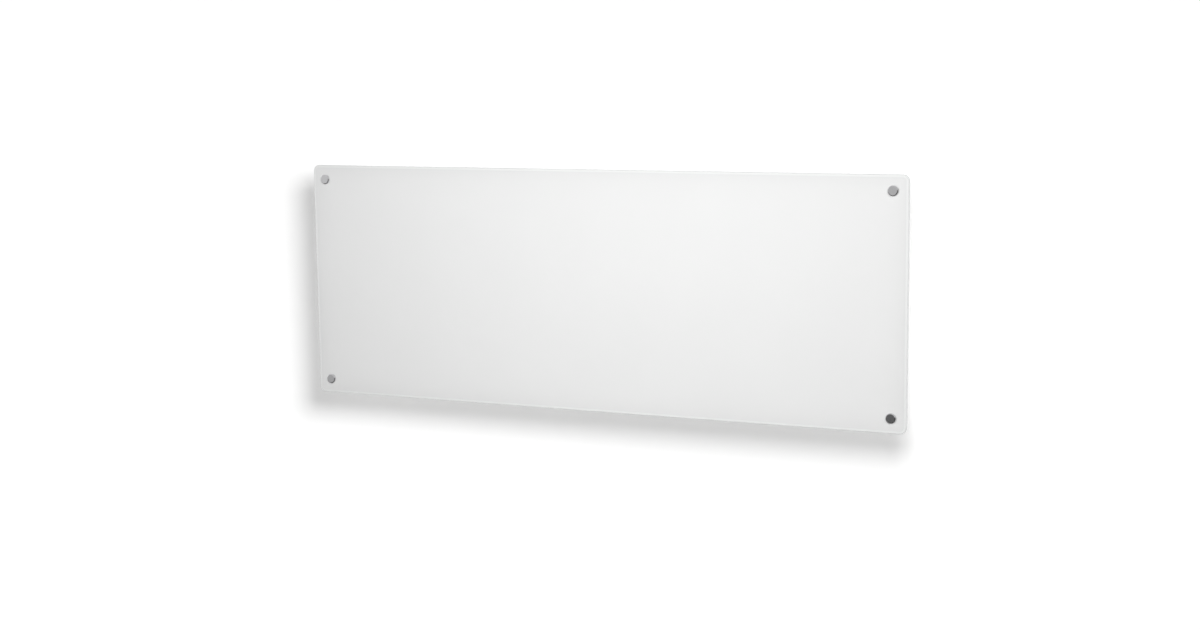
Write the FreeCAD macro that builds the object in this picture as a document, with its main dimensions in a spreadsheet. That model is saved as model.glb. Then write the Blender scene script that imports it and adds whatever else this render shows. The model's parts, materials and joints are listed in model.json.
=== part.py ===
import FreeCAD, Part
import math
import os
import re
import Sketcher

# Wall-hung convector heater with a glass front.
# Millimetres; x to the right, y toward the wall, z up; the wall plane is y = 0 and the
# origin is the middle of the four wall screws.

V = FreeCAD.Vector

# Sizes, each written once
DIMENSIONS = [
    # Glass front
    ("glass_width", 980),
    ("glass_height", 370),
    ("glass_thick", 6),
    ("glass_corner", 10),
    ("glass_bevel", 1),
    ("glass_hole", 10),
    ("stud_inset", 22.8),
    # Glass fixings
    ("cap_dia", 14.8),
    ("cap_height", 3.5),
    ("cap_bevel", 0.8),
    ("cap_thread", 2.2),
    ("washer_dia", 13),
    ("washer_thick", 0.5),
    ("bush_gap", 0.2),
    ("bush_pad_dia", 14),
    ("bush_pad", 1),
    ("post_dia", 14),
    ("post_length", 12),
    ("stud_dia", 5),
    ("stud_gap", 0.15),
    ("stud_head_dia", 9.5),
    ("stud_head", 3),
    ("stud_socket", 4),
    ("stud_socket_depth", 1.8),
    # Sheet-metal casing
    ("sheet", 1),
    ("plate_margin", 12),
    ("plate_rim", 10),
    ("plate_corner", 6),
    ("bracket_gap", 16),
    ("casing_side", 50),
    ("casing_edge", 35),
    ("casing_depth", 50),
    ("flange", 14),
    ("inner_bend", 0.4),
    ("slot_length", 118),
    ("slot_width", 6),
    ("slot_step", 130),
    ("slot_side", 45),
    ("slot_row_step", 9),
    ("slot_border", 13),
    ("grille_shift", 4.5),
    ("end_wall", 2.4),
    ("plug_depth", 8),
    ("plug_gap", 0.3),
    ("cap_round", 4),
    ("shield_gap", 5),
    ("shield_height", 140),
    ("shield_rise", 17),
    # Small screws
    ("screw_dia", 3.5),
    ("screw_gap", 0.15),
    ("screw_length", 6),
    ("screw_head_dia", 7),
    ("screw_head", 2.2),
    ("screw_columns", 4),
    ("screw_end", 30),
    # Heating element
    ("element_z", -60),
    ("element_length", 560),
    ("hub_dia", 14),
    ("rod_dia", 8),
    ("rod_gap", 0.1),
    ("wing_angle", 28),
    ("wing_reach", 31),
    ("wing_thick", 1.6),
    ("slit_width", 3),
    ("slit_low", 10),
    ("slit_high", 24),
    ("slit_step", 36),
    ("slit_end", 10),
    ("insulator_dia", 12),
    ("insulator_length", 14),
    ("pin_dia", 4),
    ("pin_length", 8),
    ("tab_thick", 1.2),
    ("tab_width", 12),
    ("tab_height", 9),
    ("bracket_plate", 1.2),
    ("bracket_foot", 15),
    ("bracket_half", 15.5),
    ("bracket_screw", 12),
    ("sleeve_dia", 18),
    ("sleeve_gap", 0.2),
    ("sleeve_length", 6),
    ("sleeve_flange_dia", 24),
    ("sleeve_flange", 3),
    # Thermal cut-out above the element
    ("cutout_x", 150),
    ("cutout_rise", 48),
    ("cutout_dia", 16),
    ("cutout_height", 8),
    ("cutout_nose_dia", 11.6),
    ("cutout_nose", 3),
    ("cutout_gap", 0.2),
    ("cutout_arm", 26),
    ("cutout_foot", 18),
    ("blade_width", 6),
    ("blade_thick", 0.8),
    ("blade_height", 8),
    ("lead_offset", 3),
    # Controls at the right end
    ("housing_inset", 13),
    ("housing_width", 100),
    ("housing_depth", 38),
    ("housing_height", 180),
    ("housing_z", 20),
    ("housing_wall", 2),
    ("board_edge", 10),
    ("board_stand", 4),
    ("board_thick", 1.6),
    ("stand_dia", 6),
    ("relay_width", 20),
    ("relay_height", 30),
    ("relay_depth", 18),
    ("relay_rise", 45),
    ("transformer_width", 34),
    ("transformer_height", 30),
    ("transformer_depth", 24),
    ("transformer_rise", 0),
    ("capacitor_width", 26),
    ("capacitor_height", 10),
    ("capacitor_depth", 20),
    ("capacitor_rise", -30),
    ("connector_width", 28),
    ("connector_height", 14),
    ("connector_depth", 18),
    ("connector_rise", 6),
    ("display_gap", 7),
    ("display_board_width", 34),
    ("display_board_edge", 17),
    ("display_z", 98),
    ("window_width", 22),
    ("window_height", 28),
    ("window_thick", 1.2),
    ("window_gap", 0.15),
    ("window_lip", 2),
    ("module_width", 16),
    ("module_height", 22),
    ("module_depth", 6),
    ("button_z", 10),
    ("button_step", 18),
    ("button_count", 4),
    ("button_dia", 9),
    ("button_gap", 0.3),
    ("button_proud", 0.9),
    ("button_flange_dia", 12),
    ("button_flange", 1),
    ("button_seat", 0.2),
    ("button_travel", 0.8),
    ("press_gap", 0.1),
    ("tact_size", 6),
    ("tact_height", 3.5),
    ("plunger_dia", 3.4),
    ("switch_z", -45),
    ("switch_width", 12.8),
    ("switch_height", 19),
    ("switch_depth", 15),
    ("switch_gap", 0.1),
    ("switch_rim", 1.1),
    ("switch_rim_thick", 1.6),
    ("switch_wall", 1.1),
    ("switch_well", 11),
    ("rocker_sink", 3.6),
    ("rocker_gap", 0.3),
    ("rocker_play", 1.1),
    ("rocker_tip", 4),
    ("rocker_dip", 3),
    ("rocker_keel", 3.2),
    ("rocker_keel_half", 4),
    ("rocker_tilt", 10),
    ("trunnion_dia", 2.4),
    ("trunnion_gap", 0.05),
    ("trunnion_end", 0.9),
    # Supply inlet
    ("terminal_width", 40),
    ("terminal_height", 22),
    ("terminal_depth", 24),
    ("terminal_rise", 8),
    ("lead_dia", 2.6),
    ("lead_gap", 0.5),
    ("lead_bend", 6),
    ("lead_pair", 12),
    ("lead_depth", 16),
    ("link_rise", 26),
    ("link_run", 18),
    ("return_drop", 58),
    ("return_side", 12),
    ("earth_run", 20),
    ("earth_flats", 8),
    ("earth_head", 6),
    ("gland_inset", 29),
    ("gland_bore", 7.4),
    ("gland_thread", 14),
    ("gland_gap", 0.15),
    ("gland_collar", 19),
    ("gland_collar_height", 4),
    ("gland_dome", 16),
    ("gland_dome_height", 9),
    ("gland_inside", 9),
    ("gland_nut_flats", 18),
    ("gland_nut_height", 4),
    # Room sensor
    ("sensor_x", 300),
    ("sensor_dia", 4.5),
    ("sensor_gap", 0.15),
    ("sensor_length", 18),
    ("clip_width", 12),
    ("clip_depth", 8),
    ("clip_height", 11),
    ("clip_back", 2.4),
    # Wall bracket
    ("upright_x", 210),
    ("upright_width", 44),
    ("upright_drop", 20),
    ("strap", 2),
    ("upright_flange", 8),
    ("upright_flange_rise", 22),
    ("wall_drop", 50),
    ("wall_hole", 5.5),
    ("rail_drop", 30),
    ("rail_height", 28),
    ("rail_overlap", 15),
    ("rivet_dia", 3.2),
    ("rivet_gap", 0.1),
    ("rivet_head_dia", 6.4),
    ("rivet_head", 1.4),
    ("rivet_pair", 14),
    ("catch_rivet_drop", 12),
    ("catch_rivet_step", 18),
    # Hooks and tilt
    ("pivot_rise", 28),
    ("hook_width", 24),
    ("hook_gap", 0.3),
    ("hook_lip", 3),
    ("hook_bend", 2),
    ("hook_side", 4),
    ("window_drop", 14),
    ("liner_radius", 4),
    ("liner_width", 28),
    ("liner_cheek", 1.2),
    ("liner_cover", 8),
    ("liner_seat", 1),
    # Spring catches
    ("catch_width", 18),
    ("catch_thick", 0.8),
    ("catch_lift", 0.6),
    ("catch_foot", 6),
    ("catch_reach", 6.5),
    ("catch_nose_half", 3.5),
    ("catch_dip", 3),
    ("catch_tab_run", 5),
    ("catch_tab_rise", 9),
    ("catch_slot_gap", 1),
]
SIZE_NAMES = {alias for alias, value in DIMENSIONS}

# Positions that follow from the sizes
DERIVED = {
    # Depth levels from the wall forward
    "panel_back": "-bracket_gap",
    "panel_front": "panel_back - sheet",
    "plate_back": "panel_back - casing_depth",
    "plate_front": "plate_back - sheet",
    "glass_back": "plate_front - post_length - bush_pad",
    "glass_front": "glass_back - glass_thick",
    "cap_back": "glass_front - washer_thick",
    "middle_y": "(plate_back + panel_front) / 2",
    # Half sizes and hole sizes
    "stud_x": "glass_width / 2 - stud_inset",
    "stud_z": "glass_height / 2 - stud_inset",
    "stud_hole": "stud_dia + 2 * stud_gap",
    "plate_half_x": "glass_width / 2 - plate_margin",
    "plate_half_z": "glass_height / 2 - plate_margin",
    "casing_half_x": "glass_width / 2 - casing_side - end_wall",
    "casing_half_z": "glass_height / 2 - casing_edge",
    "screw_hole": "screw_dia + 2 * screw_gap",
    "screw_x": "casing_half_x - screw_end",
    "screw_z": "casing_half_z - flange / 2",
    "slot_columns": "floor(2 * (casing_half_x - slot_side) / slot_step)",
    "slot_rows": "floor((casing_depth - slot_border) / slot_row_step)",
    "grille_y": "middle_y - grille_shift",
    "shield_z": "element_z + shield_rise",
    # Heating element, midway between the left end and the controls
    "element_x": "(housing_left - casing_half_x) / 2",
    "element_half": "element_length / 2",
    "slit_count": "floor((element_length - 2 * slit_end) / slit_step) + 1",
    "bracket_face": "element_half + sleeve_flange",
    "rod_end": "bracket_face + sleeve_length",
    "insulator_end": "rod_end + insulator_length",
    "pin_end": "insulator_end + pin_length",
    "terminal_face": "pin_end + tab_thick",
    "bracket_screw_x": "bracket_face + bracket_plate + (bracket_foot - bracket_plate) / 2",
    "cutout_z": "element_z + cutout_rise",
    "blade_top": "cutout_z + cutout_height + blade_height",
    # Controls
    "housing_right": "casing_half_x - housing_inset",
    "housing_left": "housing_right - housing_width",
    "housing_low": "housing_z - housing_height / 2",
    "housing_top": "housing_z + housing_height / 2",
    "housing_front": "panel_front - housing_depth",
    "board_left": "housing_left + housing_wall + board_edge",
    "board_right": "housing_right - board_edge",
    "board_low": "housing_low + housing_wall + board_edge",
    "board_top": "housing_top - housing_wall - board_edge",
    "board_back": "panel_front - housing_wall - board_stand",
    "board_front": "board_back - board_thick",
    "board_middle": "(board_left + board_right) / 2",
    "relay_z": "housing_z + relay_rise",
    "connector_low": "board_low + connector_rise",
    "connector_z": "connector_low + connector_height / 2",
    "display_front": "casing_half_x - display_gap",
    "display_back": "display_front - board_thick",
    "display_low": "button_z - display_board_edge",
    "display_high": "display_z + display_board_edge",
    "button_back": "end_wall + button_seat + button_flange",
    "plunger_top": "casing_half_x - button_seat - button_flange - button_travel - press_gap",
    "rocker_x": "casing_half_x + end_wall + switch_rim_thick - rocker_sink",
    "rocker_width": "switch_width - 2 * switch_wall - 2 * rocker_gap",
    "rocker_half": "switch_height / 2 - switch_wall - rocker_play",
    # Supply
    "terminal_x": "board_middle",
    "terminal_low": "flange + terminal_rise - casing_half_z",
    "terminal_top": "terminal_low + terminal_height",
    "lead_hole": "lead_dia + 2 * lead_gap",
    "lead_back_y": "middle_y + lead_offset",
    "lead_front_y": "middle_y - lead_offset",
    "earth_x": "terminal_x - terminal_width / 2 - earth_run",
    "earth_z": "terminal_low + terminal_height / 2",
    "gland_x": "casing_half_x - gland_inset",
    "floor_z": "-casing_half_z + sheet",
    "sensor_y": "panel_front - sheet - clip_back - clip_depth / 2",
    # Wall bracket
    "upright_top": "casing_half_z - upright_drop",
    "wall_z": "upright_top - wall_drop",
    "rail_z": "wall_z - rail_drop",
    "pivot_y": "panel_back - sheet / 2",
    "pivot_z": "pivot_rise - casing_half_z",
    "hook_valley": "liner_radius + hook_gap",
    "hook_top": "pivot_z - hook_valley",
    "hook_low": "hook_top - strap",
    "lip_inside": "pivot_y - hook_valley",
    "lip_outside": "lip_inside - strap",
    "rivet_hole": "rivet_dia + 2 * rivet_gap",
    "catch_rivet_low": "upright_top - catch_rivet_drop - catch_rivet_step",
    "catch_low": "catch_rivet_low - catch_foot",
    "catch_nose": "catch_reach - panel_front",
    "catch_low_face": "casing_half_z + catch_lift",
    "catch_top_face": "catch_low_face + catch_thick",
    "catch_front": "strap + catch_thick",
}

doc = FreeCAD.newDocument("GlassConvectorHeater")
sheet = doc.addObject("Spreadsheet::Sheet", "Sizes")
for row, (alias, value) in enumerate(DIMENSIONS, start=1):
    sheet.set(f"A{row}", alias.replace("_", " "))
    sheet.set(f"B{row}", str(value))
    sheet.setAlias(f"B{row}", alias)
gauge = doc.addObject("App::FeaturePython", "Gauge")
gauge.addProperty("App::PropertyFloat", "Reading")
doc.recompute()

nodes = []


# Formulas

def formula(text):
    """Spell out a size formula as an expression that reads the sheet."""
    def spell(match):
        word = match.group(0)
        if word in DERIVED:
            return "(" + formula(DERIVED[word]) + ")"
        if word in SIZE_NAMES:
            return "Sizes." + word
        return word
    return re.sub(r"[a-z]\w*", spell, text)


def number(text):
    """Present value of a size formula."""
    gauge.setExpression("Reading", formula(text))
    gauge.recompute()
    return gauge.Reading


def bind(item, **formulas):
    """Tie properties of an object to size formulas."""
    for name, text in formulas.items():
        item.setExpression(name, formula(text))


def place(item, x="0", y="0", z="0"):
    """Tie the position of an object to size formulas."""
    for axis, text in zip("xyz", (x, y, z)):
        item.setExpression(f"Placement.Base.{axis}", formula(text))


def keep(item, name):
    """Hand the object in as a node of that name."""
    item.Label = name
    nodes.append(item)
    return item


# Sketches

# Points of a sketched line, arc or circle
START, END, CENTRE = range(1, 4)


def new_body(name, x="0", y="0", z="0"):
    body = doc.addObject("PartDesign::Body", name)
    place(body, x, y, z)
    return body


def origin_part(body, role):
    """Origin plane or axis of a body, by its role."""
    return next(item for item in body.Origin.OriginFeatures if item.Role == role)


def sketch(body, plane, level="0"):
    """Empty sketch on an origin plane of the body, moved along the plane's normal by level."""
    drawing = body.newObject("Sketcher::SketchObject", body.Name + "_sketch")
    drawing.AttachmentSupport = [(origin_part(body, plane), "")]
    drawing.MapMode = "FlatFace"
    drawing.setExpression("AttachmentOffset.Base.z", formula(level))
    return drawing


def dimension(drawing, kind, *where, size):
    """Dimension a sketch with a size formula."""
    index = drawing.addConstraint(Sketcher.Constraint(kind, *where, number(size)))
    drawing.setExpression(f"Constraints[{index}]", formula(size))


def pin(drawing, geometry, point, x, y):
    """Fix a sketch point by its distances from the sketch origin."""
    origin = (-1, START)
    dimension(drawing, "DistanceX", *origin, geometry, point, size=x)
    dimension(drawing, "DistanceY", *origin, geometry, point, size=y)


def polygon(drawing, points):
    """Closed outline through points given as pairs of formulas."""
    spots = [V(number(x), number(y), 0) for x, y in points]
    lines = []
    for start, end in zip(spots, spots[1:] + spots[:1]):
        lines.append(drawing.addGeometry(Part.LineSegment(start, end), False))
    for line, following in zip(lines, lines[1:] + lines[:1]):
        drawing.addConstraint(Sketcher.Constraint("Coincident", line, END, following, START))
    for line, (x, y) in zip(lines, points):
        pin(drawing, line, START, x, y)


def rectangle(drawing, xs, ys):
    polygon(drawing, [(xs[0], ys[0]), (xs[1], ys[0]), (xs[1], ys[1]), (xs[0], ys[1])])


def circle(drawing, x, y, diameter):
    centre = V(number(x), number(y), 0)
    ring = drawing.addGeometry(Part.Circle(centre, V(0, 0, 1), number(diameter) / 2), False)
    pin(drawing, ring, CENTRE, x, y)
    dimension(drawing, "Radius", ring, size=f"({diameter}) / 2")


def hexagon(drawing, x, y, flats):
    """Hexagon with a flat facing the sketch's x direction."""
    corner = f"({flats}) / (2 * cos(30))"
    points = []
    for step in range(6):
        angle = 60 * step + 30
        points.append((f"{x} + {corner} * cos({angle})", f"{y} + {corner} * sin({angle})"))
    polygon(drawing, points)


def obround(drawing, x, y, length, width):
    """Slot with round ends, long along the sketch's x direction."""
    reach = f"(({length}) - ({width})) / 2"
    radius = number(width) / 2
    left = V(number(f"{x} - {reach}"), number(y), 0)
    right = V(number(f"{x} + {reach}"), number(y), 0)
    up = V(0, radius, 0)
    quarter = math.pi / 2
    normal = V(0, 0, 1)
    right_arc = drawing.addGeometry(
        Part.ArcOfCircle(Part.Circle(right, normal, radius), -quarter, quarter), False)
    top = drawing.addGeometry(Part.LineSegment(right + up, left + up), False)
    left_arc = drawing.addGeometry(
        Part.ArcOfCircle(Part.Circle(left, normal, radius), quarter, 3 * quarter), False)
    bottom = drawing.addGeometry(Part.LineSegment(left - up, right - up), False)
    for first, second in ((right_arc, top), (top, left_arc), (left_arc, bottom), (bottom, right_arc)):
        drawing.addConstraint(Sketcher.Constraint("Tangent", first, END, second, START))
    drawing.addConstraint(Sketcher.Constraint("Equal", right_arc, left_arc))
    dimension(drawing, "Radius", right_arc, size=f"({width}) / 2")
    pin(drawing, right_arc, CENTRE, f"{x} + {reach}", y)
    pin(drawing, left_arc, CENTRE, f"{x} - {reach}", y)


# Features

def pad(body, drawing, length, reverse=False, both=False):
    feature = body.newObject("PartDesign::Pad", body.Name + "_pad")
    feature.Profile = drawing
    feature.Reversed = reverse
    if both:
        feature.SideType = "Symmetric"
    bind(feature, Length=length)
    doc.recompute()
    return feature


def pocket(body, drawing, depth, reverse=False, both=False):
    """Cut the sketch into the body and make sure that something was cut."""
    before = body.Shape.Volume
    feature = body.newObject("PartDesign::Pocket", body.Name + "_pocket")
    feature.Profile = drawing
    feature.Reversed = reverse
    if both:
        feature.SideType = "Symmetric"
    bind(feature, Length=depth)
    doc.recompute()
    if body.Shape.Volume > before - 1e-3:
        raise RuntimeError(f"{body.Label}: a pocket cut nothing")
    return feature


def revolve(body, drawing, axis):
    feature = body.newObject("PartDesign::Revolution", body.Name + "_revolution")
    feature.Profile = drawing
    feature.ReferenceAxis = (drawing, [axis])
    feature.Angle = 360
    doc.recompute()
    return feature


def repeat(body, originals, first, second=None):
    """Repeat features along one or two axes; each direction is (axis, whole length, count).

    Without originals the whole body is repeated.
    """
    feature = body.newObject("PartDesign::LinearPattern", body.Name + "_pattern")
    if originals:
        feature.Originals = originals
    else:
        feature.TransformMode = "Whole shape"
    feature.Direction = (origin_part(body, first[0]), [""])
    bind(feature, Length=first[1], Occurrences=first[2])
    if second:
        feature.Direction2 = (origin_part(body, second[0]), [""])
        bind(feature, Length2=second[1], Occurrences2=second[2])
    body.Tip = feature
    doc.recompute()
    return feature


def along(edge, direction):
    """Whether an edge is a straight line in that direction."""
    if edge.Curve.TypeId != "Part::GeomLine":
        return False
    return abs(abs(edge.Curve.Direction.dot(direction)) - 1) < 1e-6


def lies_at(edge, **spot):
    """Whether an edge runs through the given coordinates, each a size formula."""
    middle = edge.CenterOfMass
    return all(abs(getattr(middle, axis) - number(text)) < 1e-4 for axis, text in spot.items())


def dress_edges(body, kind, wanted):
    """Fillet or Chamfer of the edges of the body's present shape for which wanted(edge) is true."""
    base = body.Tip
    names = [f"Edge{i}" for i, edge in enumerate(base.Shape.Edges, start=1) if wanted(edge)]
    if not names:
        raise RuntimeError(f"{body.Label}: no edge to dress")
    feature = body.newObject("PartDesign::" + kind, body.Name + "_dressing")
    feature.Base = (base, names)
    return feature


def round_edges(body, wanted, radius):
    bind(dress_edges(body, "Fillet", wanted), Radius=radius)
    doc.recompute()


def bevel_edges(body, wanted, size):
    bind(dress_edges(body, "Chamfer", wanted), Size=size)
    doc.recompute()


# Plain solids and booleans

TURNS = {
    "x": FreeCAD.Rotation(V(0, 1, 0), 90),
    "y": FreeCAD.Rotation(V(1, 0, 0), -90),
    "z": FreeCAD.Rotation(),
}


def block(name, xs, ys, zs):
    """Box between pairs of limits, each limit a size formula."""
    solid = doc.addObject("Part::Box", name)
    bind(solid, Length=f"({xs[1]}) - ({xs[0]})", Width=f"({ys[1]}) - ({ys[0]})",
         Height=f"({zs[1]}) - ({zs[0]})")
    place(solid, xs[0], ys[0], zs[0])
    return solid


def round_bar(name, axis, limits, across, diameter):
    """Cylinder along an axis between two limits; across holds the two other coordinates."""
    solid = doc.addObject("Part::Cylinder", name)
    solid.Placement = FreeCAD.Placement(V(), TURNS[axis])
    bind(solid, Radius=f"({diameter}) / 2", Height=f"({limits[1]}) - ({limits[0]})")
    spot = list(across)
    spot.insert("xyz".index(axis), limits[0])
    place(solid, *spot)
    return solid


def join(name, *solids):
    union = doc.addObject("Part::MultiFuse", name)
    union.Shapes = list(solids)
    union.Refine = True
    return union


def cut(name, base, *tools):
    result = doc.addObject("Part::Cut", name)
    result.Base = base
    result.Tool = tools[0] if len(tools) == 1 else join(name + "_tools", *tools)
    result.Refine = True
    return result


def group(name, *solids):
    """Separate solids that make one node."""
    compound = doc.addObject("Part::Compound", name)
    compound.Links = list(solids)
    return compound


def mirror(name, source, x="0"):
    """Copy of an object mirrored left to right about a plane at x."""
    copy = doc.addObject("Part::Mirroring", name)
    copy.Source = source
    copy.Normal = V(1, 0, 0)
    copy.setExpression("Base.x", formula(x))
    return copy


X, Y, Z = V(1, 0, 0), V(0, 1, 0), V(0, 0, 1)
STUD_ROW = ("X_Axis", "2 * stud_x", "2")
STUD_COLUMN = ("Z_Axis", "2 * stud_z", "2")
SCREW_ROW = ("X_Axis", "2 * screw_x", "screw_columns")
SCREW_COLUMN = ("Z_Axis", "2 * screw_z", "2")

# Screws of the rear panel that hold the brackets inside, as (x, z)
INNER_SCREWS = [
    ("element_x + bracket_screw_x", "element_z - bracket_screw"),
    ("element_x + bracket_screw_x", "element_z + bracket_screw"),
    ("element_x - bracket_screw_x", "element_z - bracket_screw"),
    ("element_x - bracket_screw_x", "element_z + bracket_screw"),
    ("cutout_x", "cutout_z - cutout_foot / 2"),
]


# Glass front

def make_glass():
    body = new_body("glass_panel", y="glass_back")
    outline = sketch(body, "XZ_Plane")
    rectangle(outline, ("-glass_width / 2", "glass_width / 2"), ("-glass_height / 2", "glass_height / 2"))
    pad(body, outline, "glass_thick")
    round_edges(body, lambda edge: along(edge, Y), "glass_corner")
    bevel_edges(body, lambda edge: not along(edge, Y), "glass_bevel")
    holes = sketch(body, "XZ_Plane")
    for x in ("-stud_x", "stud_x"):
        for z in ("-stud_z", "stud_z"):
            circle(holes, x, z, "glass_hole")
    pocket(body, holes, "glass_thick", reverse=True)
    keep(body, "glass_panel")


def stud_body(name, y):
    """Body at the lower left stud; what is made in it is repeated at all four."""
    return new_body(name, "-stud_x", y, "-stud_z")


def make_ring(name, y, outside, bore, length):
    """Ring around each stud, from y forward."""
    body = stud_body(name, y)
    drawing = sketch(body, "XZ_Plane")
    circle(drawing, "0", "0", outside)
    circle(drawing, "0", "0", bore)
    pad(body, drawing, length)
    repeat(body, [], STUD_ROW, STUD_COLUMN)
    keep(body, name)


def make_caps():
    body = stud_body("stud_caps", "cap_back")
    profile = sketch(body, "XY_Plane")
    polygon(profile, [
        ("stud_hole / 2", "0"),
        ("cap_dia / 2", "0"),
        ("cap_dia / 2", "cap_bevel - cap_height"),
        ("cap_dia / 2 - cap_bevel", "-cap_height"),
        ("0", "-cap_height"),
        ("0", "-cap_thread"),
        ("stud_hole / 2", "-cap_thread"),
    ])
    revolve(body, profile, "V_Axis")
    repeat(body, [], STUD_ROW, STUD_COLUMN)
    keep(body, "stud_caps")


def make_glass_bushes():
    body = stud_body("glass_bushes", "glass_back")
    profile = sketch(body, "XY_Plane")
    sleeve = "glass_hole / 2 - bush_gap"
    polygon(profile, [
        ("stud_hole / 2", "bush_pad"),
        ("stud_hole / 2", "-glass_thick"),
        (sleeve, "-glass_thick"),
        (sleeve, "0"),
        ("bush_pad_dia / 2", "0"),
        ("bush_pad_dia / 2", "bush_pad"),
    ])
    revolve(body, profile, "V_Axis")
    repeat(body, [], STUD_ROW, STUD_COLUMN)
    keep(body, "glass_bushes")


def make_stud_screws():
    body = stud_body("stud_screws", "plate_back")
    profile = sketch(body, "XY_Plane")
    tip = "cap_back - cap_thread - plate_back"
    polygon(profile, [
        ("0", tip),
        ("stud_dia / 2", tip),
        ("stud_dia / 2", "0"),
        ("stud_head_dia / 2", "0"),
        ("stud_head_dia / 2", "stud_head"),
        ("0", "stud_head"),
    ])
    revolve(body, profile, "V_Axis")
    socket = sketch(body, "XZ_Plane", "-stud_head")
    hexagon(socket, "0", "0", "stud_socket")
    pocket(body, socket, "stud_socket_depth", reverse=True)
    repeat(body, [], STUD_ROW, STUD_COLUMN)
    keep(body, "stud_screws")


# Casing

def screw_holes(body, z, depth, both=False, rows=None):
    """Row of screw holes, and a second row if rows says so."""
    holes = sketch(body, "XZ_Plane")
    circle(holes, "-screw_x", z, "screw_hole")
    hole = pocket(body, holes, depth, reverse=True, both=both)
    repeat(body, [hole], SCREW_ROW, rows)


def make_front_plate():
    body = new_body("front_plate", y="plate_front + plate_rim")
    outline = sketch(body, "XZ_Plane")
    rectangle(outline, ("-plate_half_x", "plate_half_x"), ("-plate_half_z", "plate_half_z"))
    pad(body, outline, "plate_rim")
    inside = sketch(body, "XZ_Plane")
    rectangle(inside, ("sheet - plate_half_x", "plate_half_x - sheet"),
              ("sheet - plate_half_z", "plate_half_z - sheet"))
    pocket(body, inside, "plate_rim - sheet", reverse=True)
    inner = number("plate_half_x - sheet / 2")
    round_edges(body, lambda edge: along(edge, Y) and abs(edge.CenterOfMass.x) < inner,
                "plate_corner - sheet")
    round_edges(body, lambda edge: along(edge, Y) and abs(edge.CenterOfMass.x) > inner,
                "plate_corner")
    studs = sketch(body, "XZ_Plane")
    for x in ("-stud_x", "stud_x"):
        for z in ("-stud_z", "stud_z"):
            circle(studs, x, z, "stud_hole")
    pocket(body, studs, "plate_rim", reverse=True)
    screw_holes(body, "-screw_z", "plate_rim", rows=SCREW_COLUMN)
    keep(body, "front_plate")


def make_rear_panel():
    body = new_body("rear_panel", y="panel_back")
    outline = sketch(body, "XZ_Plane")
    rectangle(outline, ("-casing_half_x", "casing_half_x"), ("-casing_half_z", "casing_half_z"))
    pad(body, outline, "sheet")
    windows = sketch(body, "XZ_Plane")
    half = "(hook_width / 2 + hook_side)"
    for centre in ("-upright_x", "upright_x"):
        rectangle(windows, (f"{centre} - {half}", f"{centre} + {half}"),
                  ("pivot_z - window_drop", "pivot_z + liner_seat"))
    pocket(body, windows, "sheet", reverse=True)
    inner = sketch(body, "XZ_Plane")
    for x, z in INNER_SCREWS:
        circle(inner, x, z, "screw_hole")
    circle(inner, "earth_x", "earth_z", "screw_hole")
    pocket(body, inner, "sheet", reverse=True)
    screw_holes(body, "-screw_z", "sheet", rows=SCREW_COLUMN)
    keep(body, "rear_panel")


def make_grille(name, level, fold, extra):
    """Folded channel with slots; fold is the sign of the side to which its flanges turn."""
    body = new_body(name, z=level)
    profile = sketch(body, "YZ_Plane")
    polygon(profile, [
        ("plate_back", "0"),
        ("plate_back", f"{fold}flange"),
        ("plate_back + sheet", f"{fold}flange"),
        ("plate_back + sheet", f"{fold}sheet"),
        ("panel_front - sheet", f"{fold}sheet"),
        ("panel_front - sheet", f"{fold}flange"),
        ("panel_front", f"{fold}flange"),
        ("panel_front", "0"),
    ])
    pad(body, profile, "2 * casing_half_x", both=True)
    round_edges(body, lambda edge: along(edge, X) and lies_at(edge, z="0"), "inner_bend + sheet")
    round_edges(body, lambda edge: along(edge, X) and lies_at(edge, z=f"{fold}sheet"), "inner_bend")
    slots = sketch(body, "XY_Plane")
    obround(slots, "-slot_step * (slot_columns - 1) / 2", "grille_y - slot_row_step * (slot_rows - 1) / 2",
            "slot_length", "slot_width")
    slot = pocket(body, slots, "2 * sheet", both=True)
    repeat(body, [slot], ("X_Axis", "slot_step * (slot_columns - 1)", "slot_columns"),
           ("Y_Axis", "slot_row_step * (slot_rows - 1)", "slot_rows"))
    screw_holes(body, f"{fold}flange / 2", "4 * casing_depth", both=True)
    openings = sketch(body, "XY_Plane")
    extra(openings)
    pocket(body, openings, "2 * sheet", both=True)
    keep(body, name)


def catch_slots(drawing):
    """Slots in the air outlet that the noses of the spring catches drop into."""
    half = "(catch_width / 2 + catch_slot_gap)"
    reach = "(catch_nose_half + catch_slot_gap)"
    for centre in ("-upright_x", "upright_x"):
        rectangle(drawing, (f"{centre} - {half}", f"{centre} + {half}"),
                  (f"-catch_nose - {reach}", f"-catch_nose + {reach}"))


def gland_hole(drawing):
    circle(drawing, "gland_x", "middle_y", "gland_thread + 2 * gland_gap")


def make_end_cap(name, side):
    """Moulded end cap: a plate, and a rim that plugs into the casing; side is its sign."""
    body = new_body(name, x=f"{side}casing_half_x")
    right = side == ""
    plate = sketch(body, "YZ_Plane")
    rectangle(plate, ("plate_back", "panel_back"), ("-casing_half_z", "casing_half_z"))
    pad(body, plate, "end_wall", reverse=not right)
    outer_face = number(f"{side}end_wall")
    round_edges(body, lambda edge: along(edge, X) and edge.CenterOfMass.y > number("middle_y"), "cap_round")
    round_edges(body, lambda edge: abs(edge.CenterOfMass.x - outer_face) < 1e-4, "end_wall / 3")
    plug = sketch(body, "YZ_Plane")
    for inset in ("sheet + plug_gap", "sheet + plug_gap + end_wall"):
        rectangle(plug, (f"plate_back + {inset}", f"panel_front - ({inset})"),
                  (f"-casing_half_z + {inset}", f"casing_half_z - ({inset})"))
    pad(body, plug, "plug_depth", reverse=right)
    if right:
        add_control_openings(body)
    keep(body, name)


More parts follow.
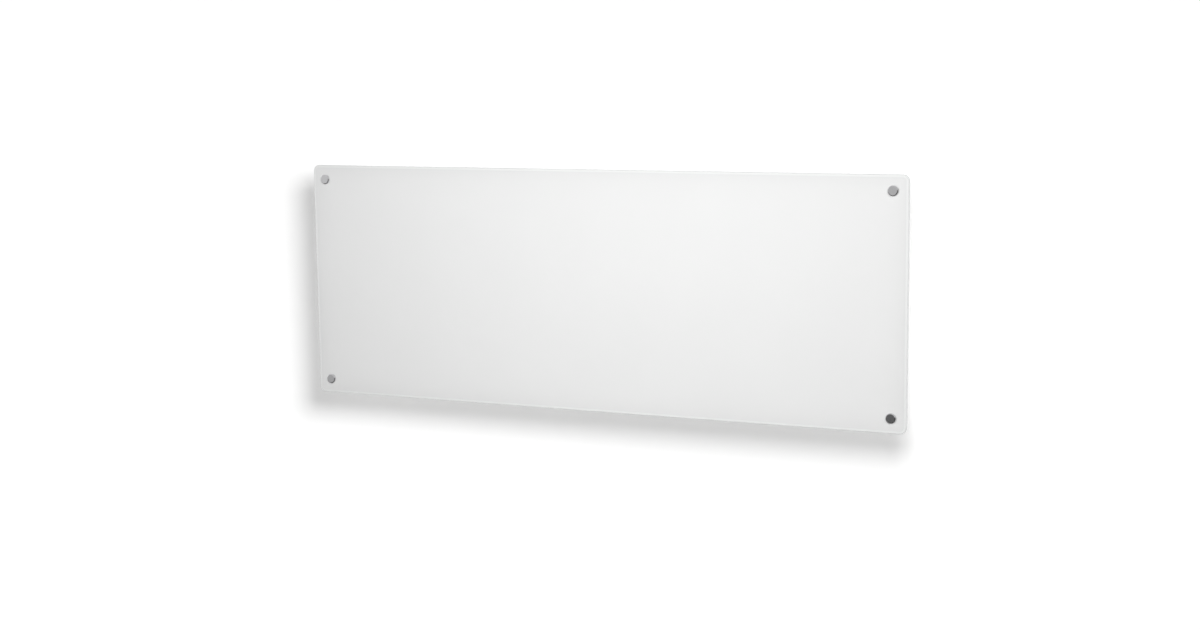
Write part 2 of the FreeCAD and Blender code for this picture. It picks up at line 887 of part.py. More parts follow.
def add_control_openings(body):
    """Window, button holes, switch cut-out and board posts of the right end cap."""
    recess = sketch(body, "YZ_Plane", "end_wall")
    half_y = "(window_width / 2 + window_gap)"
    half_z = "(window_height / 2 + window_gap)"
    rectangle(recess, (f"middle_y - {half_y}", f"middle_y + {half_y}"),
              (f"display_z - {half_z}", f"display_z + {half_z}"))
    pocket(body, recess, "window_thick")
    openings = sketch(body, "YZ_Plane")
    see_y = "(window_width / 2 - window_lip)"
    see_z = "(window_height / 2 - window_lip)"
    rectangle(openings, (f"middle_y - {see_y}", f"middle_y + {see_y}"),
              (f"display_z - {see_z}", f"display_z + {see_z}"))
    switch_y = "(switch_width / 2 + switch_gap)"
    switch_half = "(switch_height / 2 + switch_gap)"
    rectangle(openings, (f"middle_y - {switch_y}", f"middle_y + {switch_y}"),
              (f"switch_z - {switch_half}", f"switch_z + {switch_half}"))
    pocket(body, openings, "end_wall", reverse=True)
    buttons = sketch(body, "YZ_Plane")
    circle(buttons, "middle_y", "button_z", "button_dia + 2 * button_gap")
    hole = pocket(body, buttons, "end_wall", reverse=True)
    repeat(body, [hole], ("Z_Axis", "button_step * (button_count - 1)", "button_count"))
    posts = sketch(body, "YZ_Plane")
    reach = "(display_board_width / 2 - stand_dia / 2)"
    for y in (f"middle_y - {reach}", f"middle_y + {reach}"):
        for z in ("display_low + stand_dia / 2", "display_high - stand_dia / 2"):
            circle(posts, y, z, "stand_dia / 2")
    pad(body, posts, "display_gap", reverse=True)


def make_screws(name, y, spots):
    """Screws that point forward, heads behind y: the casing's grid, and more at the (x, z) spots."""
    body = new_body(name, y=y)
    for diameter, length, backward in (("screw_dia", "screw_length", False),
                                       ("screw_head_dia", "screw_head", True)):
        if spots:
            discs = sketch(body, "XZ_Plane")
            for x, z in spots:
                circle(discs, x, z, diameter)
            pad(body, discs, length, reverse=backward)
        corner = sketch(body, "XZ_Plane")
        circle(corner, "-screw_x", "-screw_z", diameter)
        repeat(body, [pad(body, corner, length, reverse=backward)], SCREW_ROW, SCREW_COLUMN)
    keep(body, name)


def make_heat_shield():
    body = new_body("heat_shield", x="element_x", z="shield_z")
    profile = sketch(body, "YZ_Plane")
    far = "plate_back + shield_gap"
    half = "shield_height / 2"
    polygon(profile, [
        ("plate_back", f"-{half}"),
        (f"{far} + sheet", f"-{half}"),
        (f"{far} + sheet", half),
        ("plate_back", half),
        ("plate_back", f"{half} - sheet"),
        (far, f"{half} - sheet"),
        (far, f"sheet - {half}"),
        ("plate_back", f"sheet - {half}"),
    ])
    pad(body, profile, "2 * insulator_end", both=True)
    keep(body, "heat_shield")


# Heating element

def element_body(name):
    return new_body(name, "element_x", "middle_y", "element_z")


def make_element_fins():
    body = element_body("element_fins")
    hub = sketch(body, "YZ_Plane")
    circle(hub, "0", "0", "hub_dia")
    pad(body, hub, "element_length", both=True)
    for lean in ("wing_angle", "-wing_angle"):
        wing = sketch(body, "YZ_Plane")
        corners = []
        for reach, thick in (("-", "-"), ("-", "+"), ("+", "+"), ("+", "-")):
            y = f"{reach}wing_reach * sin({lean}) {thick} wing_thick / 2 * cos({lean})"
            z = f"{reach}wing_reach * cos({lean}) - ({thick}wing_thick / 2 * sin({lean}))"
            corners.append((y, z))
        polygon(wing, corners)
        pad(body, wing, "element_length", both=True)
    bore = sketch(body, "YZ_Plane")
    circle(bore, "0", "0", "rod_dia + 2 * rod_gap")
    pocket(body, bore, "2 * element_length", both=True)
    slits = sketch(body, "XZ_Plane")
    first = "-slit_step * (slit_count - 1) / 2"
    for low, high in (("slit_low", "slit_high"), ("-slit_high", "-slit_low")):
        rectangle(slits, (f"{first} - slit_width / 2", f"{first} + slit_width / 2"), (low, high))
    slit = pocket(body, slits, "4 * wing_reach", both=True)
    repeat(body, [slit], ("X_Axis", "slit_step * (slit_count - 1)", "slit_count"))
    keep(body, "element_fins")


def make_element_rod():
    body = element_body("element_rod")
    profile = sketch(body, "XY_Plane")
    steps = [
        ("rod_end", "rod_dia / 2"),
        ("rod_end", "insulator_dia / 2"),
        ("insulator_end", "insulator_dia / 2"),
        ("insulator_end", "pin_dia / 2"),
        ("pin_end", "pin_dia / 2"),
        ("pin_end", "0"),
    ]
    left = [(f"-{x}", radius) for x, radius in reversed(steps)]
    polygon(profile, left + steps)
    revolve(body, profile, "H_Axis")
    for level, inward in (("pin_end", False), ("-pin_end", True)):
        tab = sketch(body, "YZ_Plane", level)
        rectangle(tab, ("-tab_width / 2", "tab_width / 2"), ("-tab_height / 2", "tab_height / 2"))
        pad(body, tab, "tab_thick", reverse=inward)
    keep(body, "element_rod")


def make_element_bushes():
    body = element_body("element_bushes")
    profile = sketch(body, "XY_Plane")
    bore = "rod_dia / 2 + rod_gap"
    polygon(profile, [
        ("bracket_face - sleeve_flange", bore),
        ("bracket_face + sleeve_length", bore),
        ("bracket_face + sleeve_length", "sleeve_dia / 2"),
        ("bracket_face", "sleeve_dia / 2"),
        ("bracket_face", "sleeve_flange_dia / 2"),
        ("bracket_face - sleeve_flange", "sleeve_flange_dia / 2"),
    ])
    right = revolve(body, profile, "H_Axis")
    left = body.newObject("PartDesign::Mirrored", "element_bushes_mirrored")
    left.Originals = [right]
    left.MirrorPlane = (origin_part(body, "YZ_Plane"), [""])
    body.Tip = left
    keep(body, "element_bushes")


def make_element_brackets():
    body = new_body("element_bracket_right", "element_x + bracket_face", "panel_front", "element_z")
    plate = sketch(body, "YZ_Plane")
    rectangle(plate, ("middle_y - panel_front - bracket_half", "0"), ("-bracket_half", "bracket_half"))
    pad(body, plate, "bracket_plate")
    foot = sketch(body, "XZ_Plane")
    rectangle(foot, ("0", "bracket_foot"), ("-bracket_half", "bracket_half"))
    pad(body, foot, "bracket_plate")
    hole = sketch(body, "YZ_Plane")
    circle(hole, "middle_y - panel_front", "0", "sleeve_dia + 2 * sleeve_gap")
    pocket(body, hole, "bracket_plate", reverse=True)
    screws = sketch(body, "XZ_Plane")
    for z in ("-bracket_screw", "bracket_screw"):
        circle(screws, "bracket_screw_x - bracket_face", z, "screw_hole")
    pocket(body, screws, "bracket_plate", reverse=True)
    keep(body, "element_bracket_right")
    keep(mirror("element_bracket_left", body, "element_x"), "element_bracket_left")


def make_cutout():
    body = new_body("thermal_cutout", "cutout_x", "middle_y", "cutout_z")
    profile = sketch(body, "XZ_Plane")
    polygon(profile, [
        ("0", "-cutout_nose"),
        ("cutout_nose_dia / 2", "-cutout_nose"),
        ("cutout_nose_dia / 2", "0"),
        ("cutout_dia / 2", "0"),
        ("cutout_dia / 2", "cutout_height"),
        ("0", "cutout_height"),
    ])
    revolve(body, profile, "V_Axis")
    blades = sketch(body, "XY_Plane", "cutout_height")
    for y in ("-lead_offset", "lead_offset"):
        rectangle(blades, ("-blade_width / 2", "blade_width / 2"),
                  (f"{y} - blade_thick / 2", f"{y} + blade_thick / 2"))
    pad(body, blades, "blade_height")
    keep(body, "thermal_cutout")

    bracket = new_body("cutout_bracket", "cutout_x", "panel_front", "cutout_z")
    arm = sketch(bracket, "XY_Plane")
    half = "cutout_arm / 2"
    rectangle(arm, (f"-{half}", half), (f"middle_y - panel_front - {half}", "0"))
    pad(bracket, arm, "sheet", reverse=True)
    foot = sketch(bracket, "XZ_Plane")
    rectangle(foot, (f"-{half}", half), ("-cutout_foot", "0"))
    pad(bracket, foot, "sheet")
    nose = sketch(bracket, "XY_Plane")
    circle(nose, "0", "middle_y - panel_front", "cutout_nose_dia + 2 * cutout_gap")
    pocket(bracket, nose, "sheet")
    screw = sketch(bracket, "XZ_Plane")
    circle(screw, "0", "-cutout_foot / 2", "screw_hole")
    pocket(bracket, screw, "sheet", reverse=True)
    keep(bracket, "cutout_bracket")


# Controls

def make_power_unit():
    inside_back = "panel_front - housing_wall"
    shell = block("housing_shell", ("housing_left", "housing_right"), ("housing_front", "panel_front"),
                  ("housing_low", "housing_top"))
    space = block("housing_space", ("housing_left + housing_wall", "housing_right"),
                  ("housing_front + housing_wall", inside_back),
                  ("housing_low + housing_wall", "housing_top - housing_wall"))
    tools = [space]
    for z in ("relay_z", "connector_z"):
        tools.append(round_bar("housing_lead_hole", "x", ("housing_left", "housing_left + housing_wall"),
                               ("lead_back_y", z), "lead_hole"))
    for x in ("terminal_x - lead_pair / 2", "terminal_x + lead_pair / 2"):
        tools.append(round_bar("housing_supply_hole", "z", ("housing_low", "housing_low + housing_wall"),
                               (x, "panel_front - lead_depth"), "lead_hole"))
    box = cut("housing_box", shell, *tools)
    stands = []
    for x in ("board_left + stand_dia", "board_right - stand_dia"):
        for z in ("board_low + stand_dia / 2", "board_top - stand_dia"):
            stands.append(round_bar("housing_stand", "y", ("board_back", inside_back), (x, z), "stand_dia"))
    keep(join("control_housing", box, *stands), "control_housing")

    keep(block("power_board", ("board_left", "board_right"), ("board_front", "board_back"),
               ("board_low", "board_top")), "power_board")
    for name, left in (("relay", "board_left + stand_dia"),
                       ("capacitor", "board_right - stand_dia - capacitor_width"),
                       ("transformer", "board_right - stand_dia - transformer_width")):
        middle = f"housing_z + {name}_rise"
        keep(block(name, (left, f"{left} + {name}_width"), (f"board_front - {name}_depth", "board_front"),
                   (f"{middle} - {name}_height / 2", f"{middle} + {name}_height / 2")), name)
    keep(block("board_connector",
               ("board_middle - connector_width / 2", "board_middle + connector_width / 2"),
               ("board_front - connector_depth", "board_front"),
               ("connector_low", "connector_low + connector_height")), "board_connector")


def button_height(place_number):
    """Height of a button, counted from the lowest."""
    return f"button_z + {place_number} * button_step"


def make_display():
    keep(block("display_board", ("display_back", "display_front"),
               ("middle_y - display_board_width / 2", "middle_y + display_board_width / 2"),
               ("display_low", "display_high")), "display_board")
    keep(block("display_module", ("display_front", "display_front + module_depth"),
               ("middle_y - module_width / 2", "middle_y + module_width / 2"),
               ("display_z - module_height / 2", "display_z + module_height / 2")), "display_module")
    outer = "casing_half_x + end_wall"
    keep(block("display_window", (f"{outer} - window_thick", outer),
               ("middle_y - window_width / 2", "middle_y + window_width / 2"),
               ("display_z - window_height / 2", "display_z + window_height / 2")), "display_window")
    body = new_body("tact_switches", "display_front", "middle_y", "button_z")
    case = sketch(body, "YZ_Plane")
    rectangle(case, ("-tact_size / 2", "tact_size / 2"), ("-tact_size / 2", "tact_size / 2"))
    pad(body, case, "tact_height")
    plunger = sketch(body, "YZ_Plane")
    circle(plunger, "0", "0", "plunger_dia")
    pad(body, plunger, "plunger_top - display_front")
    repeat(body, [], ("Z_Axis", "button_step * (button_count - 1)", "button_count"))
    keep(body, "tact_switches")


def make_buttons():
    for place_number, name in enumerate(("button_timer", "button_minus", "button_plus", "button_power")):
        body = new_body(name, "casing_half_x + end_wall", "middle_y", button_height(place_number))
        profile = sketch(body, "XY_Plane")
        flange_top = "-end_wall - button_seat"
        polygon(profile, [
            ("-button_back", "0"),
            ("-button_back", "button_flange_dia / 2"),
            (flange_top, "button_flange_dia / 2"),
            (flange_top, "button_dia / 2"),
            ("button_proud / 2", "button_dia / 2"),
            ("button_proud", "button_dia / 2 - button_proud / 2"),
            ("button_proud", "0"),
        ])
        revolve(body, profile, "H_Axis")
        keep(body, name)


def make_switch():
    outer = "casing_half_x + end_wall"
    face = f"{outer} + switch_rim_thick"
    rim = block("switch_rim_block", (outer, face),
                ("middle_y - switch_width / 2 - switch_rim", "middle_y + switch_width / 2 + switch_rim"),
                ("switch_z - switch_height / 2 - switch_rim", "switch_z + switch_height / 2 + switch_rim"))
    case = block("switch_case", (f"{outer} - switch_depth", outer),
                 ("middle_y - switch_width / 2", "middle_y + switch_width / 2"),
                 ("switch_z - switch_height / 2", "switch_z + switch_height / 2"))
    well_y = "(switch_width / 2 - switch_wall)"
    well_z = "(switch_height / 2 - switch_wall)"
    well = block("switch_well", (f"{face} - switch_well", face),
                 (f"middle_y - {well_y}", f"middle_y + {well_y}"),
                 (f"switch_z - {well_z}", f"switch_z + {well_z}"))
    pivot = round_bar("switch_pivot", "y", ("middle_y - switch_width / 2", "middle_y + switch_width / 2"),
                      ("rocker_x", "switch_z"), "trunnion_dia + 2 * trunnion_gap")
    blades = []
    for z in ("switch_z - tact_size", "switch_z", "switch_z + tact_size"):
        blades.append(block("switch_blade",
                            (f"{outer} - switch_depth - blade_height", f"{outer} - switch_depth"),
                            ("middle_y - blade_width / 2", "middle_y + blade_width / 2"),
                            (f"{z} - blade_thick / 2", f"{z} + blade_thick / 2")))
    solid = join("switch_solid", rim, case, *blades)
    keep(cut("switch_frame", solid, well, pivot), "switch_frame")

    body = new_body("switch_rocker", "rocker_x", "middle_y", "switch_z")
    body.Placement.Rotation = FreeCAD.Rotation(V(0, 1, 0), 1)
    bind(body, **{"Placement.Rotation.Angle": "rocker_tilt"})
    paddle = sketch(body, "XZ_Plane")
    polygon(paddle, [
        ("-rocker_keel", "-rocker_keel_half"),
        ("0", "-rocker_half"),
        ("rocker_tip", "-rocker_half"),
        ("rocker_dip", "0"),
        ("rocker_tip", "rocker_half"),
        ("0", "rocker_half"),
        ("-rocker_keel", "rocker_keel_half"),
    ])
    pad(body, paddle, "rocker_width", both=True)
    trunnion = sketch(body, "XZ_Plane")
    circle(trunnion, "0", "0", "trunnion_dia")
    pad(body, trunnion, "rocker_width + 2 * trunnion_end", both=True)
    keep(body, "switch_rocker")


def make_sensor():
    clip = block("clip_block", ("sensor_x - clip_width / 2", "sensor_x + clip_width / 2"),
                 ("sensor_y - clip_depth / 2", "sensor_y + clip_depth / 2"),
                 ("floor_z", "floor_z + clip_height"))
    hole = round_bar("clip_hole", "z", ("floor_z + sheet", "floor_z + clip_height"),
                     ("sensor_x", "sensor_y"), "sensor_dia + 2 * sensor_gap")
    keep(cut("sensor_clip", clip, hole), "sensor_clip")
    keep(round_bar("room_sensor", "z", ("floor_z + sheet", "floor_z + sheet + sensor_length"),
                   ("sensor_x", "sensor_y"), "sensor_dia"), "room_sensor")


# Supply

def make_terminal_block():
    body = block("terminal_body", ("terminal_x - terminal_width / 2", "terminal_x + terminal_width / 2"),
                 ("panel_front - terminal_depth", "panel_front"), ("terminal_low", "terminal_top"))
    wells = []
    for step in ("-1", "0", "1"):
        x = f"terminal_x + {step} * terminal_width / 3"
        wells.append(round_bar("terminal_screw_well", "y",
                               ("panel_front - terminal_depth", "panel_front - terminal_depth / 2"),
                               (x, "earth_z"), "terminal_width / 6"))
        wells.append(round_bar("terminal_wire_well", "z",
                               ("terminal_low", "terminal_low + terminal_height / 3"),
                               (x, "panel_front - lead_depth"), "terminal_width / 8"))
    keep(cut("terminal_block", body, *wells), "terminal_block")
    leads = []
    for x in ("terminal_x - lead_pair / 2", "terminal_x + lead_pair / 2"):
        leads.append(round_bar("supply_lead", "z", ("terminal_top", "connector_low"),
                               (x, "panel_front - lead_depth"), "lead_dia"))
    keep(group("supply_leads", *leads), "supply_leads")
    keep(round_bar("lead_earth", "x", ("earth_x + earth_flats / 2", "terminal_x - terminal_width / 2"),
                   ("panel_front - earth_head / 2", "earth_z"), "lead_dia"), "lead_earth")
    screw = new_body("earth_screw", "earth_x", "panel_front", "earth_z")
    head = sketch(screw, "XZ_Plane")
    hexagon(head, "0", "0", "earth_flats")
    pad(screw, head, "earth_head")
    shank = sketch(screw, "XZ_Plane")
    circle(shank, "0", "0", "screw_dia")
    pad(screw, shank, "sheet + screw_head", reverse=True)
    keep(screw, "earth_screw")


def make_lead(name, y, points):
    """Insulated lead in a plane of constant y, bent at every inner point; points are (x, z)."""
    body = new_body(name, y=y)
    path = sketch(body, "XZ_Plane")
    spots = [V(number(x), number(z), 0) for x, z in points]
    lines = []
    for start, end in zip(spots, spots[1:]):
        lines.append(path.addGeometry(Part.LineSegment(start, end), False))
    for line, following in zip(lines, lines[1:]):
        path.addConstraint(Sketcher.Constraint("Coincident", line, END, following, START))
    for line, (x, z) in zip(lines, points):
        pin(path, line, START, x, z)
    pin(path, lines[-1], END, *points[-1])
    doc.recompute()
    for line in lines[:-1]:
        path.fillet(line, END, number("lead_bend"), True, True)
        dimension(path, "Radius", path.GeometryCount - 1 - bend_point(path), size="lead_bend")
    doc.recompute()
    start_x, start_z = points[0]
    if spots[0].x == spots[1].x:
        profile = sketch(body, "XY_Plane", start_z)
        circle(profile, start_x, "0", "lead_dia")
    else:
        profile = sketch(body, "YZ_Plane", start_x)
        circle(profile, "0", start_z, "lead_dia")
    pipe = body.newObject("PartDesign::AdditivePipe", name + "_pipe")
    pipe.Profile = profile
    pipe.Spine = path
    doc.recompute()
    keep(body, name)


def bend_point(path):
    """How many geometries after the bend's arc the last fillet added."""
    newest = path.Geometry[path.GeometryCount - 1]
    return 0 if newest.TypeId == "Part::GeomArcOfCircle" else 1


def make_leads():
    link_x = "element_x + terminal_face + link_run"
    link_z = "blade_top + link_rise"
    make_lead("lead_live", "lead_back_y", [
        ("board_left + stand_dia", "relay_z"),
        ("cutout_x", "relay_z"),
        ("cutout_x", "blade_top"),
    ])
    make_lead("lead_link", "lead_front_y", [
        ("cutout_x", "blade_top"),
        ("cutout_x", link_z),
        (link_x, link_z),
        (link_x, "element_z"),
        ("element_x + terminal_face", "element_z"),
    ])
    return_z = "element_z - return_drop"
    make_lead("lead_neutral", "lead_back_y", [
        ("board_middle - connector_width / 2", "connector_z"),
        (link_x, "connector_z"),
        (link_x, return_z),
        ("element_x - terminal_face - return_side", return_z),
        ("element_x - terminal_face - return_side", "element_z"),
        ("element_x - terminal_face", "element_z"),
    ])


def make_gland():
    body = new_body("cord_gland", "gland_x", "middle_y", "-casing_half_z")
    profile = sketch(body, "XZ_Plane")
    bore = "gland_bore / 2"
    dome_low = "-gland_collar_height - gland_dome_height"
    polygon(profile, [
        (bore, "gland_inside"),
        (bore, dome_low),
        ("gland_dome / 2 - gland_collar_height / 2", dome_low),
        ("gland_dome / 2", f"{dome_low} + gland_collar_height / 2"),
        ("gland_dome / 2", "-gland_collar_height"),
        ("gland_collar / 2", "-gland_collar_height"),
        ("gland_collar / 2", "0"),
        ("gland_thread / 2", "0"),
        ("gland_thread / 2", "gland_inside"),
    ])
    revolve(body, profile, "V_Axis")
    keep(body, "cord_gland")
    nut = new_body("gland_nut", "gland_x", "middle_y", "floor_z")
    flats = sketch(nut, "XY_Plane")
    hexagon(flats, "0", "0", "gland_nut_flats")
    circle(flats, "0", "0", "gland_thread + 2 * gland_gap")
    pad(nut, flats, "gland_nut_height")
    keep(nut, "gland_nut")


# Wall bracket

def make_uprights():
    body = new_body("bracket_upright_right", x="upright_x")
    half = "upright_width / 2"
    web = sketch(body, "XZ_Plane")
    rectangle(web, (f"-{half}", half), ("hook_low", "upright_top"))
    pad(body, web, "strap")
    hook = sketch(body, "YZ_Plane")
    polygon(hook, [
        ("0", "hook_low"),
        ("lip_outside", "hook_low"),
        ("lip_outside", "pivot_z + hook_lip"),
        ("lip_inside", "pivot_z + hook_lip"),
        ("lip_inside", "hook_top"),
        ("0", "hook_top"),
    ])
    pad(body, hook, "hook_width", both=True)
    for y, z, radius in (("lip_inside", "hook_top", "hook_valley"),
                         ("lip_outside", "hook_low", "hook_valley + strap"),
                         ("-strap", "hook_top", "hook_bend")):
        round_edges(body, lambda edge: along(edge, X) and lies_at(edge, x="0", y=y, z=z), radius)
    fold = sketch(body, "XZ_Plane")
    rectangle(fold, (f"{half} - strap", half), ("pivot_z + upright_flange_rise", "upright_top"))
    pad(body, fold, "upright_flange")
    holes = sketch(body, "XZ_Plane")
    for z in ("-wall_z", "wall_z"):
        circle(holes, "0", z, "wall_hole")
    for x in ("-rivet_pair / 2", "rivet_pair / 2"):
        for z in ("-rail_z", "rail_z"):
            circle(holes, x, z, "rivet_hole")
    for z in ("catch_rivet_low", "catch_rivet_low + catch_rivet_step"):
        circle(holes, "0", z, "rivet_hole")
    pocket(body, holes, "strap", reverse=True)
    keep(body, "bracket_upright_right")
    keep(mirror("bracket_upright_left", body), "bracket_upright_left")


def make_rails():
    for name, z in (("bracket_rail_upper", "rail_z"), ("bracket_rail_lower", "-rail_z")):
        body = new_body(name, y="-strap", z=z)
        end = "(upright_x + rail_overlap)"
        outline = sketch(body, "XZ_Plane")
        rectangle(outline, (f"-{end}", end), ("-rail_height / 2", "rail_height / 2"))
        pad(body, outline, "strap")
        holes = sketch(body, "XZ_Plane")
        for centre in ("-upright_x", "upright_x"):
            for x in ("- rivet_pair / 2", "+ rivet_pair / 2"):
                circle(holes, f"{centre} {x}", "0", "rivet_hole")
        pocket(body, holes, "strap", reverse=True)
        keep(body, name)


def make_rivets(name, x, z, grip, first, second):
    """Round-head rivets through the given thickness, flush with the wall side."""
    body = new_body(name, x, f"-({grip})", z)
    profile = sketch(body, "XY_Plane")
    polygon(profile, [
        ("0", grip),
        ("rivet_dia / 2", grip),
        ("rivet_dia / 2", "0"),
        ("rivet_head_dia / 2", "0"),
        ("rivet_head_dia / 3", "-rivet_head"),
        ("0", "-rivet_head"),
    ])
    revolve(body, profile, "V_Axis")
    for direction in first:
        repeat(body, [], direction)
    repeat(body, [], *second)
    keep(body, name)


def make_catches():
    body = new_body("catch_spring_right", x="upright_x")
    nose_back = "catch_nose_half - catch_nose"
    nose_front = "-catch_nose_half - catch_nose"
    tab_front = f"{nose_front} - catch_tab_run"
    tab_top = "catch_top_face + catch_tab_rise"
    profile = sketch(body, "YZ_Plane")
    polygon(profile, [
        ("-strap", "catch_low"),
        ("-strap", "catch_top_face"),
        (nose_back, "catch_top_face"),
        ("-catch_nose", "catch_top_face - catch_dip - catch_lift"),
        (nose_front, "catch_top_face"),
        (tab_front, tab_top),
        (f"{tab_front} - catch_thick", tab_top),
        (f"{nose_front} - catch_thick / 2", "catch_low_face"),
        ("-catch_nose", "catch_low_face - catch_dip - catch_lift"),
        (nose_back, "catch_low_face"),
        ("-catch_front", "catch_low_face"),
        ("-catch_front", "catch_low"),
    ])
    pad(body, profile, "catch_width", both=True)
    holes = sketch(body, "XZ_Plane")
    for z in ("catch_rivet_low", "catch_rivet_low + catch_rivet_step"):
        circle(holes, "0", z, "rivet_hole")
    pocket(body, holes, "catch_front", reverse=True)
    keep(body, "catch_spring_right")
    keep(mirror("catch_spring_left", body), "catch_spring_left")


def make_hook_liners():
    body = new_body("hook_liners", "-upright_x", "pivot_y", "pivot_z")
    nose = sketch(body, "YZ_Plane")
    circle(nose, "0", "0", "2 * liner_radius")
    pad(body, nose, "liner_width", both=True)
    grip = sketch(body, "YZ_Plane")
    half = "(sheet / 2 + liner_cheek)"
    rectangle(grip, (f"-{half}", half), ("0", "liner_cover"))
    pad(body, grip, "liner_width", both=True)
    slit = sketch(body, "YZ_Plane")
    rectangle(slit, ("-sheet / 2", "sheet / 2"), ("liner_seat", "liner_cover"))
    pocket(body, slit, "liner_width", both=True)
    repeat(body, [], ("X_Axis", "2 * upright_x", "2"))
    keep(body, "hook_liners")


make_glass()
make_caps()
make_ring("cap_washers", "glass_front", "washer_dia", "stud_hole", "washer_thick")
make_glass_bushes()
make_ring("standoff_posts", "plate_front", "post_dia", "stud_hole", "post_length")
make_stud_screws()
make_front_plate()
make_rear_panel()
make_grille("top_grille", "casing_half_z", "-", catch_slots)
make_grille("bottom_grille", "-casing_half_z", "", gland_hole)
make_end_cap("left_end_cap", "-")
make_end_cap("right_end_cap", "")
make_screws("panel_screws", "panel_back", INNER_SCREWS)
make_screws("front_screws", "plate_back + sheet", [])
make_heat_shield()
make_element_fins()
make_element_rod()
make_element_bushes()
make_element_brackets()
make_cutout()
make_power_unit()
make_display()
make_buttons()
make_switch()
make_sensor()
make_terminal_block()
make_leads()
make_gland()
make_uprights()
make_rails()
make_rivets("bracket_rivets", "-upright_x - rivet_pair / 2", "-rail_z", "2 * strap",
            [("X_Axis", "rivet_pair", "2")],
            [("X_Axis", "2 * upright_x", "2"), ("Z_Axis", "2 * rail_z", "2")])
make_catches()
make_rivets("catch_rivets", "-upright_x", "catch_rivet_low", "catch_front", [],
            [("X_Axis", "2 * upright_x", "2"), ("Z_Axis", "catch_rivet_step", "2")])
make_hook_liners()
doc.recompute()

for item in doc.Objects:
    if "Invalid" in item.State or "Error" in item.State:
        raise RuntimeError(f"{item.Label}: {item.State}")
os.makedirs("parts", exist_ok=True)
for item in nodes:
    if item.Shape.isNull() or not item.Shape.isValid():
        raise RuntimeError(f"{item.Label}: bad shape")
    item.Shape.exportStep(f"parts/{item.Label}.step")
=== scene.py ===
"""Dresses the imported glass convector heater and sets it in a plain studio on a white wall."""
import json
import math

import bmesh
import bpy
from mathutils import Matrix, Vector
from mathutils.bvhtree import BVHTree

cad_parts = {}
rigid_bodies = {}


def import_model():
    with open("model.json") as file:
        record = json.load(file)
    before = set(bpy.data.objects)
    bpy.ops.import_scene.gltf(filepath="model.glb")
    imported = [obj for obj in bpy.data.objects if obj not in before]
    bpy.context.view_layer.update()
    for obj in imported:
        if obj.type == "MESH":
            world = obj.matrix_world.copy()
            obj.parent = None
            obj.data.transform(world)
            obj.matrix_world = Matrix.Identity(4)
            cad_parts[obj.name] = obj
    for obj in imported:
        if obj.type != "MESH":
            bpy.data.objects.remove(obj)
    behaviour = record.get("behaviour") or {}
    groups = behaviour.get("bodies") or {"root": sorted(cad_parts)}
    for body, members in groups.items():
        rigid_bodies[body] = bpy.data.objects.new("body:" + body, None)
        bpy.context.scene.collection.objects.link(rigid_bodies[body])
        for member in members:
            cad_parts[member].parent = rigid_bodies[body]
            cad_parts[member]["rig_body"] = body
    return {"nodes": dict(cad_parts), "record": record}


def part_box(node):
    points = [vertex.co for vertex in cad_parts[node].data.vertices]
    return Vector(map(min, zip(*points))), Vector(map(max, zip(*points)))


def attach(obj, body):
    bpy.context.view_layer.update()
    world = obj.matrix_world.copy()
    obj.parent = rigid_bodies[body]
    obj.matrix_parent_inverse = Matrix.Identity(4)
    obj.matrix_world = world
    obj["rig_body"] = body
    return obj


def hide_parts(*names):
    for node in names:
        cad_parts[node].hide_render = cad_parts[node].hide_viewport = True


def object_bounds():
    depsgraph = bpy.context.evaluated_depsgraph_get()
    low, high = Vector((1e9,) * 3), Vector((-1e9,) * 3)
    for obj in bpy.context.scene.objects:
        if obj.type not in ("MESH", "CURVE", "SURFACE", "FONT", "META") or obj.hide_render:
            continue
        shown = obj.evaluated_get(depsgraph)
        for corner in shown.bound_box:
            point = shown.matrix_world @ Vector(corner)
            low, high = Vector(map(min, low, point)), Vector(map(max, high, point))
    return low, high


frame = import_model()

CAD_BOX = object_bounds()
NODES = frame["nodes"]
SLOT_OF = {part["node"]: part["material_slot"] for part in frame["record"]["subparts"]}
MM = 0.001
FULL_TURN = 360
UPRIGHT = 90

# Glass panel, with a clear polished border round the white print; the border and the edge carry painted
# light and the print's rim painted shade
GLASS_CORNER = 10 * MM
TINTED_EDGE = 0.6 * MM
CLEAR_START = 1.2 * MM
PRINT_INSET = 3.9 * MM
PRINT_LINE = 1.8 * MM
PRINT_BLUR = 0.3 * MM
PRINT_SHADE_REACH = 48 * MM
# Shares of the way across the painted shade on the print, each with how far the print has come out of that
# shade there
SHADE_FADE_CURVE = ((0.0, 0.0), (0.15, 0.36), (0.35, 0.67), (0.6, 0.89), (1.0, 1.0))

# Noise, with the middle range that most of its values lie in, and grains in waves to a metre
NOISE_LOW = 0.3
NOISE_HIGH = 0.7
NOISE_DETAIL = 3.0
CLOUD_GRAIN = 9
RING_GRAIN = 9000
TRACK_GRAIN = 120
MASK_GRAIN = 400
EVEN = (1, 1, 1)
ALONG_X = (0.03, 1, 1)

# Relief of the surfaces
SMOOTH_RELIEF = 0.002 * MM
DRAWN_RELIEF = 0.003 * MM
FINE_RELIEF = 0.01 * MM
GRAINED_RELIEF = 0.03 * MM

# Where one colour of a band gives way to the other, in shares of the wave
BAND_CHANGE_START = 0.45
BAND_CHANGE_END = 0.55

# Turned pieces
TURN_STEPS = 48
ARC_STEPS = 4
SMOOTH_ANGLE = math.radians(35)
WELD_REACH = 0.001 * MM
SORT_DIGITS = 4

# Stud caps
CAP_BEVEL = 0.8 * MM
CAP_ROUND = 0.18 * MM
CAP_THREAD_RADIUS = 2.4 * MM

# Cross-head screws
SHANK_TO_HEAD = 0.5
TIP_TO_SHANK = 0.6
POINT_TO_SHANK = 0.5
FLAT_TO_HEAD = 0.72
SCREW_CROWN = 0.7 * MM
